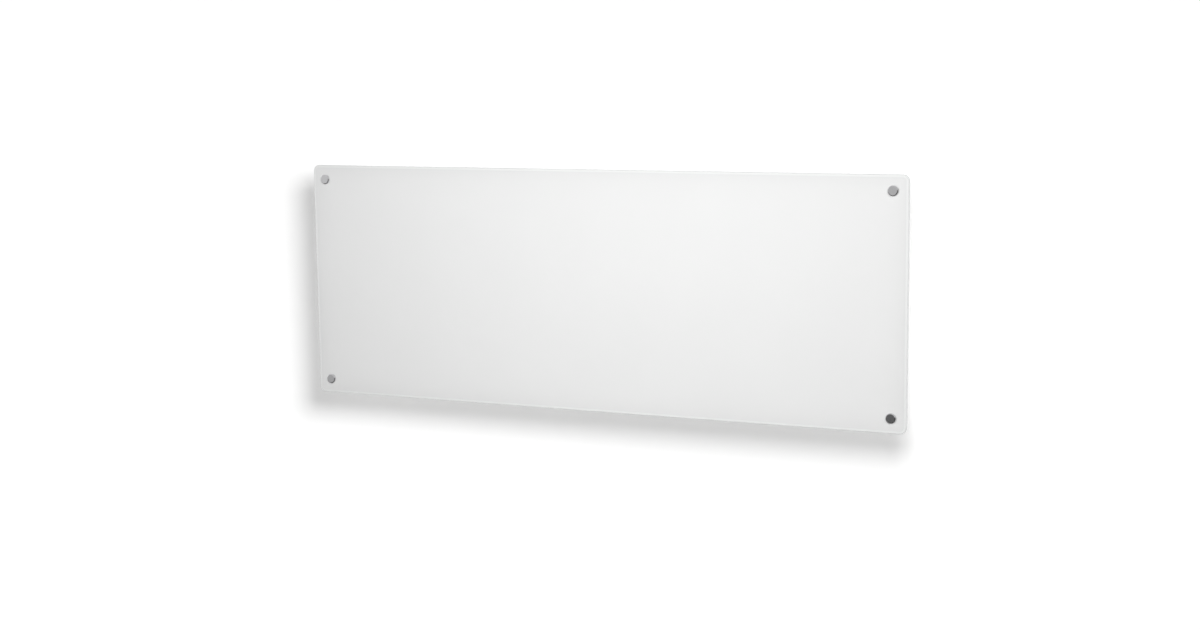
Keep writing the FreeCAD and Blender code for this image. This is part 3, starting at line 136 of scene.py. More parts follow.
# Points of the crown in shares of its height, each inward from the rim and down from the top
CROWN_CURVE = ((0.0, 1.0), (0.35, 0.3), (1.0, 0.06))
SCREW_RECESS_DEPTH = 1.3 * MM
SCREW_RECESS_HALF = 1.75 * MM
SCREW_RECESS_ARM = 0.5 * MM
SCREW_RECESS_TAPER = 0.7

# Printed marks on the buttons and the rocker
MARK_PROUD = 0.04 * MM
MARK_SUNK = 0.2 * MM
MARK_WIDTH = 0.55 * MM
MARK_REACH = 1.9 * MM
MARK_RAY_START = 10 * MM
BOW_STEPS = 32
POWER_BOW_GAP = 70
POWER_BAR_START = 0.2 * MARK_REACH
POWER_BAR_END = 1.2 * MARK_REACH
LONG_HAND = 0.68 * MARK_REACH
SHORT_HAND = 0.55 * MARK_REACH
HAND_WIDTH = 0.8 * MARK_WIDTH
ROCKER_MARK_REACH = 1.5 * MM
ROCKER_MARK_OFFSET = 4.4 * MM

# Camera, as the photograph was taken
IMAGE_WIDTH = 1200
FOCAL_PIXELS = 1855
SENSOR_WIDTH = 36
AZIMUTH = math.radians(24.38)
ELEVATION = math.radians(8.02)
ROLL = math.radians(-0.67)
CAMERA_DISTANCE = 2.8116
CAMERA_TARGET = Vector((0.0137, -0.0860, -0.0352))

# Wall and floor
WHITE = (1, 1, 1, 1)
FLOOR_DROP = 0.75
WALL_REACH = 1.5
WALL_HEIGHT = 1.2
FLOOR_REACH = 3.0
WALL_GAP = 0.5 * MM
WALL_COLOUR = (0.95, 0.95, 0.95, 1)
WALL_LIFT = 0.39
FLOOR_COLOUR = (0.38, 0.38, 0.375, 1)
FLOOR_LIFT = 0.82

# Room, as reflections show it
AMBIENT = 0.10
ROOM_SLANT = 0.25
ROOM_DARK_HEIGHT = -0.157
ROOM_PALE_HEIGHT = 0.035
ROOM_DARK = (0.06, 0.06, 0.06)
ROOM_PALE = (0.78, 0.78, 0.78)

# Lamps
KEY_PLACE = Vector((2.0, -3.0, 1.23))
KEY_SIZE = 1.4
KEY_POWER = 75
WALL_LAMP_PLACE = Vector((0.78, -1.26, 0.61))
WALL_LAMP_RADIUS = 0.33
WALL_LAMP_POWER = 16.1
FRONT_PLACE = Vector((0.062, -1.349, 0.254))
FRONT_SIZE = 0.5
FRONT_POWER = 11.35
REAR_LAMPS = (("rear_left", Vector((-2.2, 1.4, 0.8)), 18),
              ("rear_right", Vector((2.2, 1.4, 0.8)), 18),
              ("rear_low", Vector((0.0, 1.6, -0.5)), 6))
REAR_TARGET = Vector((0.0, -0.04, 0.0))
REAR_SIZE = 1.2


# Small helpers for node trees
def add(tree, kind, **settings):
    node = tree.nodes.new("ShaderNode" + kind)
    for key, value in settings.items():
        setattr(node, key, value)
    return node


def feed(tree, socket, value):
    """Joins a socket to another node's output, or sets it to a plain value."""
    if isinstance(value, bpy.types.NodeSocket):
        tree.links.new(value, socket)
    else:
        socket.default_value = value


def maths(tree, operation, *values):
    node = add(tree, "Math", operation=operation)
    for socket, value in zip(node.inputs, values):
        feed(tree, socket, value)
    return node.outputs["Value"]


def object_place(tree):
    return add(tree, "TexCoord").outputs["Object"]


def noise(tree, grain, stretch=EVEN):
    """A noise value over the piece. The grain is in waves to a metre, before the stretch."""
    mapping = add(tree, "Mapping")
    feed(tree, mapping.inputs["Vector"], object_place(tree))
    mapping.inputs["Scale"].default_value = stretch
    texture = add(tree, "TexNoise")
    feed(tree, texture.inputs["Vector"], mapping.outputs["Vector"])
    texture.inputs["Scale"].default_value = grain
    texture.inputs["Detail"].default_value = NOISE_DETAIL
    return texture.outputs["Fac"]


def ramp(tree, factor, stops, smooth=False):
    """Colours along a factor. Each stop is its place and its colour."""
    node = add(tree, "ValToRGB")
    node.color_ramp.interpolation = "EASE" if smooth else "LINEAR"
    elements = node.color_ramp.elements
    while len(elements) < len(stops):
        elements.new(0.5)
    for element, (place, colour) in zip(elements, stops):
        element.position = place
        element.color = (*colour, 1)
    feed(tree, node.inputs["Fac"], factor)
    return node.outputs["Color"]


def shades(tree, value, dark, light):
    """Maps a noise value from its usual middle range to a dark and a light colour."""
    return ramp(tree, value, [(NOISE_LOW, dark), (NOISE_HIGH, light)])


def span(tree, value, low, high):
    """Maps a noise value from its usual middle range to low and high."""
    node = add(tree, "MapRange")
    feed(tree, node.inputs["Value"], value)
    node.inputs["From Min"].default_value = NOISE_LOW
    node.inputs["From Max"].default_value = NOISE_HIGH
    node.inputs["To Min"].default_value = low
    node.inputs["To Max"].default_value = high
    return node.outputs["Result"]


def bump(tree, shader, height, depth):
    node = add(tree, "Bump")
    node.inputs["Distance"].default_value = depth
    feed(tree, node.inputs["Height"], height)
    feed(tree, shader.inputs["Normal"], node.outputs["Normal"])


def mix_shaders(tree, factor, first, second):
    node = add(tree, "MixShader")
    feed(tree, node.inputs["Fac"], factor)
    feed(tree, node.inputs[1], first)
    feed(tree, node.inputs[2], second)
    return node.outputs["Shader"]


def new_material(name):
    material = bpy.data.materials.new(name)
    material.use_nodes = True
    tree = material.node_tree
    return material, tree, tree.nodes["Principled BSDF"]


# Materials
def varied(name, dark, light, rough, grain, depth, stretch=EVEN, metal=0.0, specular=0.5):
    """A surface whose colour, roughness and fine relief follow one noise. Depth is its relief."""
    material, tree, shader = new_material(name)
    value = noise(tree, grain, stretch)
    feed(tree, shader.inputs["Base Color"], shades(tree, value, dark, light))
    feed(tree, shader.inputs["Roughness"], span(tree, value, *rough))
    bump(tree, shader, value, depth)
    shader.inputs["Metallic"].default_value = metal
    shader.inputs["Specular IOR Level"].default_value = specular
    return material


def outline_inset(tree, half_x, half_z, corner):
    """How far a point lies inside the panel's rounded outline, in metres."""
    place = add(tree, "SeparateXYZ")
    feed(tree, place.inputs["Vector"], object_place(tree))
    beyond_x = maths(tree, "SUBTRACT", maths(tree, "ABSOLUTE", place.outputs["X"]), half_x - corner)
    beyond_z = maths(tree, "SUBTRACT", maths(tree, "ABSOLUTE", place.outputs["Z"]), half_z - corner)
    round_x = maths(tree, "MAXIMUM", beyond_x, 0.0)
    round_z = maths(tree, "MAXIMUM", beyond_z, 0.0)
    squares = maths(tree, "ADD", maths(tree, "MULTIPLY", round_x, round_x),
                    maths(tree, "MULTIPLY", round_z, round_z))
    outside = maths(tree, "SQRT", squares)
    inside = maths(tree, "MINIMUM", maths(tree, "MAXIMUM", beyond_x, beyond_z), 0.0)
    return maths(tree, "SUBTRACT", corner, maths(tree, "ADD", outside, inside))


def glass_bands(tree):
    """Colours inward from the panel's outline: tinted edge and clear border lightened with painted light,
    fine line, and print with painted shade toward its rim.
    """
    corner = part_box("glass_panel")[1]
    inset = outline_inset(tree, corner.x, corner.z, GLASS_CORNER)
    # The edge and the clear border are painted lighter than the print, as painted light for what the
    # polished glass edge catches; the edge also has the glass's green tint.
    edge = (0.735, 0.752, 0.746)
    clear = (0.727, 0.734, 0.731)
    line = (0.684, 0.688, 0.687)
    # The print's rim colour is painted shade: darker toward the panel's outline, fading to the plain print
    # inward.
    shaded_print_rim = Vector((0.690, 0.692, 0.691))
    print_white = Vector((0.722, 0.724, 0.723))
    line_end = PRINT_INSET + PRINT_LINE
    stops = [(0.0, edge), (TINTED_EDGE, edge), (CLEAR_START, clear), (PRINT_INSET - PRINT_BLUR, clear),
             (PRINT_INSET, line), (line_end, line)]
    shade_start = line_end + PRINT_BLUR
    for part, out_of_shade in SHADE_FADE_CURVE:
        stops.append((shade_start + part * (PRINT_SHADE_REACH - shade_start), shaded_print_rim.lerp(print_white, out_of_shade)))
    return ramp(tree, maths(tree, "DIVIDE", inset, PRINT_SHADE_REACH),
                [(reach / PRINT_SHADE_REACH, colour) for reach, colour in stops])


def printed_glass():
    """White print seen through polished glass, faintly clouded, with painted shade on the print toward its
    rim and painted light on the clear border and edge.
    """
    material, tree, shader = new_material("printed_glass")
    bands = glass_bands(tree)
    cloud = shades(tree, noise(tree, CLOUD_GRAIN), (0.987, 0.987, 0.987), (1.0, 1.0, 1.0))
    shaded = add(tree, "Mix", data_type="RGBA", blend_type="MULTIPLY")
    shaded.inputs["Factor"].default_value = 1.0
    feed(tree, shaded.inputs["A"], bands)
    feed(tree, shaded.inputs["B"], cloud)
    feed(tree, shader.inputs["Base Color"], shaded.outputs["Result"])
    shader.inputs["Roughness"].default_value = 0.4
    shader.inputs["Specular IOR Level"].default_value = 0.0
    shader.inputs["Coat Weight"].default_value = 1.0
    shader.inputs["Coat Roughness"].default_value = 0.02
    return material


def turned_steel():
    """Stud caps: fine turned rings round the cap's own middle."""
    material, tree, shader = new_material("turned_steel")
    place = add(tree, "SeparateXYZ")
    feed(tree, place.inputs["Vector"], object_place(tree))
    squares = maths(tree, "ADD", maths(tree, "MULTIPLY", place.outputs["X"], place.outputs["X"]),
                    maths(tree, "MULTIPLY", place.outputs["Z"], place.outputs["Z"]))
    rings = add(tree, "TexNoise", noise_dimensions="1D")
    feed(tree, rings.inputs["W"], maths(tree, "SQRT", squares))
    rings.inputs["Scale"].default_value = RING_GRAIN
    value = rings.outputs["Fac"]
    feed(tree, shader.inputs["Base Color"], shades(tree, value, (0.60, 0.60, 0.61), (0.68, 0.68, 0.69)))
    feed(tree, shader.inputs["Roughness"], span(tree, value, 0.12, 0.18))
    shader.inputs["Metallic"].default_value = 1.0
    return material


def circuit_board():
    """Green solder mask over a grid of copper tracks."""
    material, tree, shader = new_material("solder_mask")
    tracks = add(tree, "TexBrick", offset=0.5)
    feed(tree, tracks.inputs["Vector"], object_place(tree))
    tracks.inputs["Scale"].default_value = TRACK_GRAIN
    tracks.inputs["Color1"].default_value = (0.03, 0.17, 0.07, 1)
    tracks.inputs["Color2"].default_value = (0.04, 0.20, 0.09, 1)
    tracks.inputs["Mortar"].default_value = (0.08, 0.30, 0.14, 1)
    feed(tree, shader.inputs["Base Color"], tracks.outputs["Color"])
    feed(tree, shader.inputs["Roughness"], span(tree, noise(tree, MASK_GRAIN), 0.3, 0.42))
    return material


def banded(name, first, second, direction, grain, rough):
    """Two colours in bands, for wound tape and a striped earth lead."""
    material, tree, shader = new_material(name)
    bands = add(tree, "TexWave", bands_direction=direction)
    feed(tree, bands.inputs["Vector"], object_place(tree))
    bands.inputs["Scale"].default_value = grain
    feed(tree, shader.inputs["Base Color"],
         ramp(tree, bands.outputs["Fac"], [(BAND_CHANGE_START, first), (BAND_CHANGE_END, second)]))
    shader.inputs["Roughness"].default_value = rough
    return material


FINISHES = {
    "glass": printed_glass(),
    "cap_steel": turned_steel(),
    "zinc_steel": varied("zinc_plate", (0.56, 0.57, 0.59), (0.64, 0.65, 0.67),
                         rough=(0.28, 0.38), grain=300, depth=FINE_RELIEF, metal=1.0),
    "white_steel": varied("white_powder_coat", (0.80, 0.80, 0.79), (0.84, 0.84, 0.83),
                          rough=(0.38, 0.48), grain=1400, depth=GRAINED_RELIEF),
    "bracket_steel": varied("grey_powder_coat", (0.70, 0.70, 0.69), (0.75, 0.75, 0.74),
                            rough=(0.40, 0.50), grain=1400, depth=GRAINED_RELIEF),
    "spring_steel": varied("spring_steel", (0.49, 0.50, 0.52), (0.54, 0.55, 0.57),
                           rough=(0.26, 0.33), grain=420, depth=DRAWN_RELIEF, metal=1.0),
    "nylon": varied("natural_nylon", (0.76, 0.75, 0.70), (0.82, 0.81, 0.77),
                    rough=(0.42, 0.52), grain=500, depth=FINE_RELIEF),
    "white_plastic": varied("white_plastic", (0.79, 0.79, 0.78), (0.83, 0.83, 0.82),
                            rough=(0.42, 0.52), grain=2600, depth=GRAINED_RELIEF),
    "black_plastic": varied("black_plastic", (0.022, 0.022, 0.024), (0.040, 0.040, 0.043),
                            rough=(0.38, 0.50), grain=2600, depth=GRAINED_RELIEF),
    "grey_plastic": varied("grey_plastic", (0.36, 0.37, 0.38), (0.43, 0.44, 0.45),
                           rough=(0.45, 0.55), grain=1800, depth=GRAINED_RELIEF),
    "dark_window": varied("dark_window", (0.006, 0.007, 0.009), (0.010, 0.011, 0.014),
                          rough=(0.05, 0.09), grain=40, depth=SMOOTH_RELIEF, specular=0.3),
    "circuit_board": circuit_board(),
    "winding": banded("wound_tape", (0.66, 0.50, 0.06), (0.74, 0.58, 0.10),
                      direction="Z", grain=160, rough=0.4),
    "fin_aluminium": varied("fin_aluminium", (0.62, 0.63, 0.64), (0.76, 0.77, 0.78),
                            rough=(0.26, 0.40), grain=500, depth=FINE_RELIEF, stretch=ALONG_X, metal=1.0),
    "sheath_steel": varied("heated_sheath", (0.24, 0.22, 0.20), (0.42, 0.40, 0.38),
                           rough=(0.30, 0.46), grain=160, depth=FINE_RELIEF, stretch=ALONG_X, metal=1.0),
    "ceramic_bush": varied("unglazed_ceramic", (0.76, 0.73, 0.65), (0.84, 0.81, 0.74),
                           rough=(0.55, 0.70), grain=900, depth=GRAINED_RELIEF),
    "lead_cover": varied("grey_silicone", (0.55, 0.54, 0.51), (0.64, 0.63, 0.60),
                         rough=(0.50, 0.62), grain=700, depth=FINE_RELIEF),
}
NODE_FINISHES = {
    "lead_live": varied("brown_lead", (0.14, 0.055, 0.03), (0.20, 0.08, 0.045),
                        rough=(0.46, 0.58), grain=700, depth=FINE_RELIEF),
    "lead_neutral": varied("blue_lead", (0.03, 0.09, 0.30), (0.05, 0.13, 0.38),
                           rough=(0.46, 0.58), grain=700, depth=FINE_RELIEF),
    "lead_earth": banded("earth_lead", (0.10, 0.36, 0.08), (0.72, 0.66, 0.06),
                         direction="X", grain=60, rough=0.5),
}
MARK_INK = varied("grey_ink", (0.20, 0.20, 0.21), (0.26, 0.26, 0.27),
                  rough=(0.5, 0.6), grain=3000, depth=SMOOTH_RELIEF)
WHITE_INK = varied("white_ink", (0.74, 0.74, 0.73), (0.80, 0.80, 0.79),
                   rough=(0.5, 0.6), grain=3000, depth=SMOOTH_RELIEF)

for node_name, node in NODES.items():
    finish = NODE_FINISHES.get(node_name, FINISHES[SLOT_OF[node_name]])
    node.data.materials.clear()
    node.data.materials.append(finish)


# Small helpers for pieces
def new_piece(name, work, material, body, place=(0, 0, 0)):
    """Makes an object from a finished bmesh, smooth but for sharp edges and flat faces, on a body."""
    bmesh.ops.recalc_face_normals(work, faces=work.faces)
    mesh = bpy.data.meshes.new(name)
    work.to_mesh(mesh)
    work.free()
    mesh.shade_smooth()
    mesh.set_sharp_from_angle(angle=SMOOTH_ANGLE)
    mesh.materials.append(material)
    piece = bpy.data.objects.new(name, mesh)
    piece.modifiers.new("flat_faces", "WEIGHTED_NORMAL").keep_sharp = True
    piece.location = place
    bpy.context.scene.collection.objects.link(piece)
    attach(piece, body)
    return piece


def ring(work, radius, y):
    """A ring of points round the Y axis."""
    points = []
    for step in range(TURN_STEPS):
        turn = 2 * math.pi * step / TURN_STEPS
        points.append(work.verts.new((radius * math.cos(turn), y, radius * math.sin(turn))))
    return points


def join_rings(work, first, second):
    for step, point in enumerate(first):
        after = (step + 1) % len(first)
        work.faces.new((point, first[after], second[after], second[step]))


def arc(centre_radius, centre_y, radius, start, end):
    """Profile points (radius, y) round a small arc, with angles in degrees."""
    points = []
    for step in range(ARC_STEPS + 1):
        turn = math.radians(start + (end - start) * step / ARC_STEPS)
        points.append((centre_radius + radius * math.cos(turn), centre_y + radius * math.sin(turn)))
    return points


def turn_profile(work, profile):
    """Turns a profile of (radius, y) points round the Y axis and returns its first and last ring."""
    rings = [ring(work, radius, y) for radius, y in profile]
    for first, second in zip(rings, rings[1:]):
        join_rings(work, first, second)
    return rings[0], rings[-1]


def box_order(box):
    """Sorts boxes from the bottom up, and from left to right at one height."""
    low = box[0]
    return round(low.z, SORT_DIGITS), round(low.x, SORT_DIGITS)


def solid_boxes(node_name):
    """The lowest and highest corner of each separate solid of a CAD node."""
    work = bmesh.new()
    work.from_mesh(NODES[node_name].data)
    bmesh.ops.remove_doubles(work, verts=work.verts, dist=WELD_REACH)
    waiting = set(work.verts)
    boxes = []
    while waiting:
        front = [waiting.pop()]
        low, high = front[0].co.copy(), front[0].co.copy()
        while front:
            point = front.pop()
            low = Vector(map(min, low, point.co))
            high = Vector(map(max, high, point.co))
            for edge in point.link_edges:
                other = edge.other_vert(point)
                if other in waiting:
                    waiting.remove(other)
                    front.append(other)
        boxes.append((low, high))
    work.free()
    return sorted(boxes, key=box_order)


def on_axis(low, high, y):
    """The point at y on the axis of a round solid, from the corners of its box."""
    return Vector(((low.x + high.x) / 2, y, (low.z + high.z) / 2))


def box_middle(node_name):
    low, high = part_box(node_name)
    return (low + high) / 2


# Stud caps, turned, with softened edges
def cap_profile(radius, height):
    """Half outline of a cap from its thread to the rim of its face, as (radius, y) points."""
    side = radius - CAP_ROUND
    profile = [(CAP_THREAD_RADIUS, 0.0), (side, 0.0)]
    profile += arc(side, -CAP_ROUND, CAP_ROUND, 90, 0)[1:]
    profile += arc(side, CAP_BEVEL - height, CAP_ROUND, 0, -45)
    profile += arc(side - CAP_BEVEL, CAP_ROUND - height, CAP_ROUND, -45, -90)
    return profile


def make_caps():
    for number, (low, high) in enumerate(solid_boxes("stud_caps"), 1):
        work = bmesh.new()
        back, face = turn_profile(work, cap_profile((high.x - low.x) / 2, high.y - low.y))
        work.faces.new(face)
        work.faces.new(back)
        piece = new_piece(f"stud_cap_{number}", work, FINISHES["cap_steel"], "heater",
                          on_axis(low, high, high.y))
        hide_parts("stud_caps")


# Panel screws, with a crowned head and a cross recess
def cross_corners(half, arm):
    """The twelve corners of an upright cross, from its half length and the half width of its arms."""
    return ((half, arm), (arm, arm), (arm, half), (-arm, half), (-arm, arm), (-half, arm),
            (-half, -arm), (-arm, -arm), (-arm, -half), (arm, -half), (arm, -arm), (half, -arm))


def cross_outline(work, half, arm, y):
    return [work.verts.new((x, y, z)) for x, z in cross_corners(half, arm)]


def loop_edges(work, points):
    edges = []
    for first, second in zip(points, points[1:] + points[:1]):
        edges.append(work.edges.get((first, second)) or work.edges.new((first, second)))
    return edges


def screw_profile(radius, height, tip):
    """Half outline of a screw from its tip to the flat of its crown, as (radius, y) points."""
    shank = radius * SHANK_TO_HEAD
    profile = [(shank * TIP_TO_SHANK, tip), (shank, tip + shank * POINT_TO_SHANK),
               (shank, 0.0), (radius, 0.0)]
    for inward, down in CROWN_CURVE:
        profile.append((radius - inward * SCREW_CROWN, height - down * SCREW_CROWN))
    profile.append((radius * FLAT_TO_HEAD, height))
    return profile


def make_panel_screws():
    boxes = solid_boxes("panel_screws")
    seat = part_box("rear_panel")[1].y
    height = max(high.y for low, high in boxes) - seat
    for number, (low, high) in enumerate(boxes, 1):
        work = bmesh.new()
        end, crown = turn_profile(work, screw_profile((high.x - low.x) / 2, height, low.y - seat))
        work.faces.new(end)
        mouth = cross_outline(work, SCREW_RECESS_HALF, SCREW_RECESS_ARM, height)
        floor = cross_outline(work, SCREW_RECESS_HALF * SCREW_RECESS_TAPER,
                              SCREW_RECESS_ARM * SCREW_RECESS_TAPER, height - SCREW_RECESS_DEPTH)
        join_rings(work, mouth, floor)
        work.faces.new(floor)
        rim = loop_edges(work, crown) + loop_edges(work, mouth)
        bmesh.ops.triangle_fill(work, use_beauty=True, edges=rim, normal=(0, 1, 0))
        piece = new_piece(f"panel_screw_{number:02d}", work, FINISHES["zinc_steel"], "heater",
                          on_axis(low, high, seat))
        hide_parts("panel_screws")


# Marks printed on the buttons and the rocker, as flat strokes in (y, z) about the mark's middle
def bar_outline(first, second, width):
    """A straight stroke from one point to another, as four corners."""
    run = Vector(second) - Vector(first)
    side = Vector((-run.y, run.x)).normalized() * width / 2
    return [Vector(first) + side, Vector(second) + side, Vector(second) - side, Vector(first) - side]


def plus_outline(reach, width):
    return [Vector(corner) for corner in cross_corners(reach, width / 2)]


def hands_outline(long_hand, short_hand, width):
    """A clock's two hands at three o'clock, joined in one corner."""
    half = width / 2
    return [Vector(corner) for corner in ((-half, -half), (short_hand, -half), (short_hand, half),
                                          (half, half), (half, long_hand), (-half, long_hand))]


def bow_sections(radius, width, start, end):
    """A curved stroke about the middle, as pairs of inner and outer points, with angles in degrees."""
    sections = []
    for step in range(BOW_STEPS + 1):
        turn = math.radians(start + (end - start) * step / BOW_STEPS)
        ray = Vector((math.cos(turn), math.sin(turn)))
        sections.append((ray * (radius - width / 2), ray * (radius + width / 2)))
    return sections


def lay_outline(work, stand, outline):
    """Fills an outline with a flat stroke. Stand gives the top and the foot of a point."""
    tops, feet = zip(*map(stand, outline))
    work.faces.new(tops)
    work.faces.new(feet)
    join_rings(work, tops, feet)


def lay_bow(work, stand, radius, start, end):
    """Lays a curved stroke, closed to a ring where it goes all the way round."""
    sections = bow_sections(radius, MARK_WIDTH, start, end)
    closed = end - start == FULL_TURN
    if closed:
        sections.pop()
    rings = []
    for inner, outer in sections:
        rings.append([*stand(inner), *reversed(stand(outer))])
    for first, second in zip(rings, rings[1:]):
        join_rings(work, first, second)
    if closed:
        join_rings(work, rings[-1], rings[0])
    else:
        work.faces.new(rings[0])
        work.faces.new(rings[-1])


def make_mark(name, carrier, centre, ink, outlines=(), bow=None):
    """Lays strokes on a CAD piece's outer face, seen from +X, and lets them ride with it.

    The bow, if there is one, is its radius, its start and its end angle.
    """
    surface = BVHTree.FromObject(NODES[carrier], bpy.context.evaluated_depsgraph_get())
    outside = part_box(carrier)[1].x + MARK_RAY_START
    work = bmesh.new()

    def stand(point):
        """A top just proud of the face and a foot sunk in it, for one point of a stroke."""
        start = Vector((outside, centre[0] + point.x, centre[1] + point.y))
        hit = surface.ray_cast(start, Vector((-1, 0, 0)))[0]
        return [work.verts.new(hit + Vector((rise, 0, 0))) for rise in (MARK_PROUD, -MARK_SUNK)]

    for outline in outlines:
        lay_outline(work, stand, outline)
    if bow:
        lay_bow(work, stand, *bow)
    new_piece(name, work, ink, NODES[carrier]["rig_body"])


def make_button_marks():
    reach, width = MARK_REACH, MARK_WIDTH
    half_gap = POWER_BOW_GAP / 2
    strokes = {
        "button_minus": {"outlines": [bar_outline((-reach, 0), (reach, 0), width)]},
        "button_plus": {"outlines": [plus_outline(reach, width)]},
        "button_power": {"outlines": [bar_outline((0, POWER_BAR_START), (0, POWER_BAR_END), width)],
                         "bow": (reach, UPRIGHT + half_gap, UPRIGHT + FULL_TURN - half_gap)},
        "button_timer": {"outlines": [hands_outline(LONG_HAND, SHORT_HAND, HAND_WIDTH)],
                         "bow": (reach, 0, FULL_TURN)},
    }
    for carrier, shapes in strokes.items():
        middle = box_middle(carrier)
        make_mark(f"{carrier}_mark", carrier, (middle.y, middle.z), MARK_INK, **shapes)


def make_rocker_marks():
    middle = box_middle("switch_rocker")
    reach = ROCKER_MARK_REACH
    make_mark("rocker_on_mark", "switch_rocker", (middle.y, middle.z + ROCKER_MARK_OFFSET), WHITE_INK,
              outlines=[bar_outline((0, -reach), (0, reach), MARK_WIDTH)])
    make_mark("rocker_off_mark", "switch_rocker", (middle.y, middle.z - ROCKER_MARK_OFFSET), WHITE_INK,
              bow=(reach, 0, FULL_TURN))


make_caps()
make_panel_screws()
make_button_marks()
make_rocker_marks()


# Studio
def plane(name, corners, material):
    """A stage sheet, facing the side from which its corners run counter-clockwise."""
    mesh = bpy.data.meshes.new(name)
    mesh.from_pydata(corners, [], [range(len(corners))])
    mesh.materials.append(material)
    sheet = bpy.data.objects.new(name, mesh)
    bpy.context.scene.collection.objects.link(sheet)
    return sheet


def mirrored(tree, path):
    """One for what is seen in a reflection or through glass."""
    return maths(tree, "MAXIMUM", path.outputs["Is Glossy Ray"], path.outputs["Is Transmission Ray"])


def stage_material(name, colour, lift):
    """Pale matt paint, lifted towards white where it is seen, which vanishes from behind."""
    material = bpy.data.materials.new(name)
    material.use_nodes = True
    material.cycles.emission_sampling = "NONE"
    tree = material.node_tree
    tree.nodes.remove(tree.nodes["Principled BSDF"])
    path = add(tree, "LightPath")
    paint = add(tree, "BsdfDiffuse")
    paint.inputs["Color"].default_value = colour
    glow = add(tree, "Emission")
    glow.inputs["Color"].default_value = WHITE
    seen = maths(tree, "MAXIMUM", path.outputs["Is Camera Ray"], mirrored(tree, path))
    feed(tree, glow.inputs["Strength"], maths(tree, "MULTIPLY", seen, lift))
    lifted = add(tree, "AddShader")
    feed(tree, lifted.inputs[0], paint.outputs["BSDF"])
    feed(tree, lifted.inputs[1], glow.outputs["Emission"])
    hidden = maths(tree, "MAXIMUM", add(tree, "NewGeometry").outputs["Backfacing"],
                   path.outputs["Is Shadow Ray"])
    nothing = add(tree, "BsdfTransparent").outputs["BSDF"]
    feed(tree, tree.nodes["Material Output"].inputs["Surface"],
         mix_shaders(tree, hidden, lifted.outputs["Shader"], nothing))
    return material


def make_stage():
    back = CAD_BOX[1].y + WALL_GAP
    low, high = -FLOOR_DROP, WALL_HEIGHT
    wide, reach = WALL_REACH, FLOOR_REACH
    wall = [(-wide, back, low), (wide, back, low), (wide, back, high), (-wide, back, high)]
    wall_sheet = plane("wall", wall, stage_material("wall_paint", WALL_COLOUR, WALL_LIFT))
    floor = [(-reach, -reach, low), (reach, -reach, low), (reach, reach, low), (-reach, reach, low)]
    floor_sheet = plane("floor", floor, stage_material("floor_paint", FLOOR_COLOUR, FLOOR_LIFT))
    floor_sheet.visible_glossy = False
    return wall_sheet, floor_sheet


def background(tree, colour, strength=1.0):
    node = add(tree, "Background")
    feed(tree, node.inputs["Color"], colour)
    node.inputs["Strength"].default_value = strength
    return node.outputs["Background"]


def room_colours(tree):
    """The room in reflections, pale above and on the left, and dark low down and on the right."""
    direction = add(tree, "SeparateXYZ")
    feed(tree, direction.inputs["Vector"], add(tree, "TexCoord").outputs["Generated"])
    slant = maths(tree, "MULTIPLY", direction.outputs["X"], ROOM_SLANT)
    rise = add(tree, "MapRange")
    feed(tree, rise.inputs["Value"], maths(tree, "SUBTRACT", direction.outputs["Z"], slant))
    rise.inputs["From Min"].default_value = ROOM_DARK_HEIGHT
    rise.inputs["From Max"].default_value = ROOM_PALE_HEIGHT
    return ramp(tree, rise.outputs["Result"], [(0.0, ROOM_DARK), (1.0, ROOM_PALE)], smooth=True)


def make_world():
    """Soft even light, white where the camera sees it straight, and the room in reflections."""
    world = bpy.data.worlds.new("studio")
    world.use_nodes = True
    bpy.context.scene.world = world
    tree = world.node_tree
    tree.nodes.remove(tree.nodes["Background"])
    path = add(tree, "LightPath")
    unseen = mix_shaders(tree, mirrored(tree, path), background(tree, WHITE, AMBIENT),
                         background(tree, room_colours(tree)))
    surface = mix_shaders(tree, path.outputs["Is Camera Ray"], unseen, background(tree, WHITE))
    feed(tree, tree.nodes["World Output"].inputs["Surface"], surface)


def add_light(name, kind, place, toward, energy):
    """A lamp that looks from its place toward a point, and isn't mirrored in the metal or the glass."""
    lamp = bpy.data.lights.new(name, kind)
    lamp.energy = energy
    holder = bpy.data.objects.new(name, lamp)
    holder.location = place
    holder.rotation_mode = "QUATERNION"
    holder.rotation_quaternion = (toward - place).to_track_quat("-Z", "Y")
    holder.visible_glossy = False
    bpy.context.scene.collection.objects.link(holder)
    return holder


def link_light(holder, sheets, state):
    """Lets a lamp light the stage sheets alone, INCLUDE, or all but those sheets, EXCLUDE."""
    receivers = bpy.data.collections.new(f"{holder.name}_receivers")
    for sheet in sheets:
        receivers.objects.link(sheet)
    for entry in receivers.collection_objects:
        entry.light_linking.link_state = state
    holder.light_linking.receiver_collection = receivers


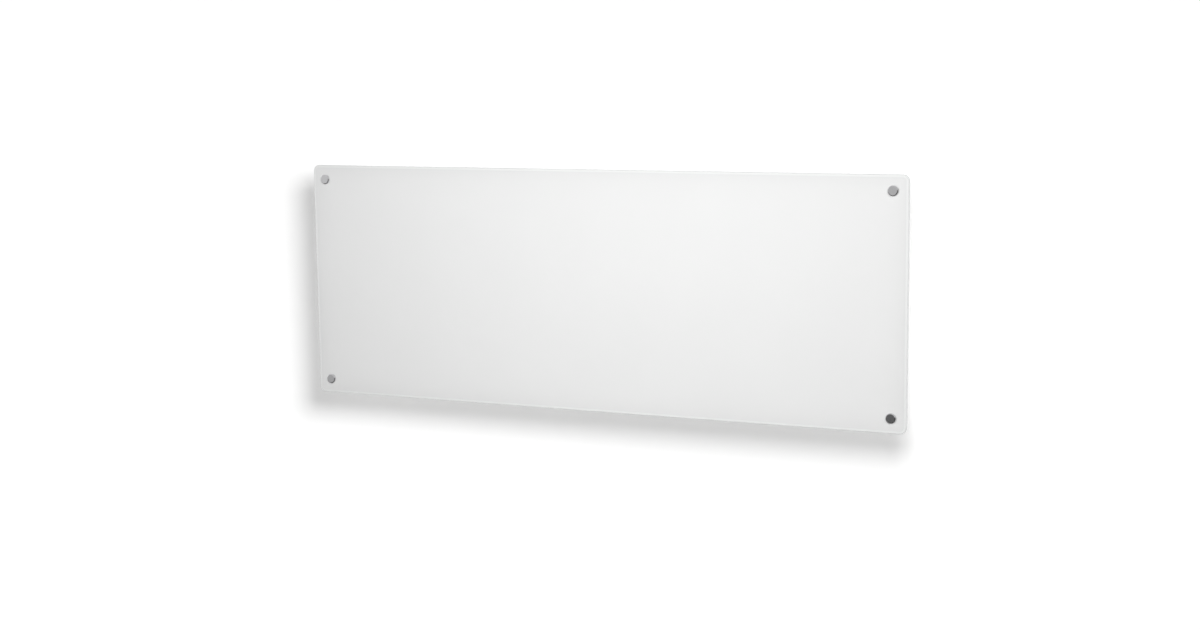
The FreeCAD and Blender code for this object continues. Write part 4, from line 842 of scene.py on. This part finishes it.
def light_evenly(lamp):
    """Makes up for distance and slant with the length of the ray, so that the whole wall is lit alike."""
    lamp.use_nodes = True
    tree = lamp.node_tree
    falloff = add(tree, "LightFalloff")
    falloff.inputs["Strength"].default_value = 1.0
    ray_length = add(tree, "LightPath").outputs["Ray Length"]
    feed(tree, tree.nodes["Emission"].inputs["Strength"],
         maths(tree, "MULTIPLY", falloff.outputs["Constant"], ray_length))


def make_lights(sheets):
    panel_middle = box_middle("glass_panel")
    key = add_light("key", "AREA", KEY_PLACE, panel_middle, KEY_POWER)
    key.data.size = KEY_SIZE
    link_light(key, sheets, "EXCLUDE")
    wall_lamp = add_light("wall_lamp", "POINT", WALL_LAMP_PLACE, panel_middle, WALL_LAMP_POWER)
    wall_lamp.data.shadow_soft_size = WALL_LAMP_RADIUS
    light_evenly(wall_lamp.data)
    link_light(wall_lamp, sheets, "INCLUDE")
    front = add_light("front", "AREA", FRONT_PLACE, FRONT_PLACE + Vector((0, 1, 0)), FRONT_POWER)
    front.data.size = FRONT_SIZE
    link_light(front, sheets, "EXCLUDE")
    for name, place, power in REAR_LAMPS:
        lamp = add_light(name, "AREA", place, REAR_TARGET, power)
        lamp.data.size = REAR_SIZE


def make_camera():
    back = Vector((math.sin(AZIMUTH) * math.cos(ELEVATION), -math.cos(AZIMUTH) * math.cos(ELEVATION),
                   math.sin(ELEVATION)))
    level = Vector((math.cos(AZIMUTH), math.sin(AZIMUTH), 0))
    rise = back.cross(level)
    right = level * math.cos(ROLL) + rise * math.sin(ROLL)
    up = rise * math.cos(ROLL) - level * math.sin(ROLL)
    lens = bpy.data.cameras.new("camera")
    lens.sensor_width = SENSOR_WIDTH
    lens.lens = FOCAL_PIXELS * SENSOR_WIDTH / IMAGE_WIDTH
    camera = bpy.data.objects.new("camera", lens)
    turn = Matrix((right, up, back)).transposed()
    camera.matrix_world = Matrix.Translation(CAMERA_TARGET + back * CAMERA_DISTANCE) @ turn.to_4x4()
    bpy.context.scene.collection.objects.link(camera)
    bpy.context.scene.camera = camera


make_world()
make_lights(make_stage())
make_camera()
bpy.context.scene.view_settings.view_transform = "Standard"
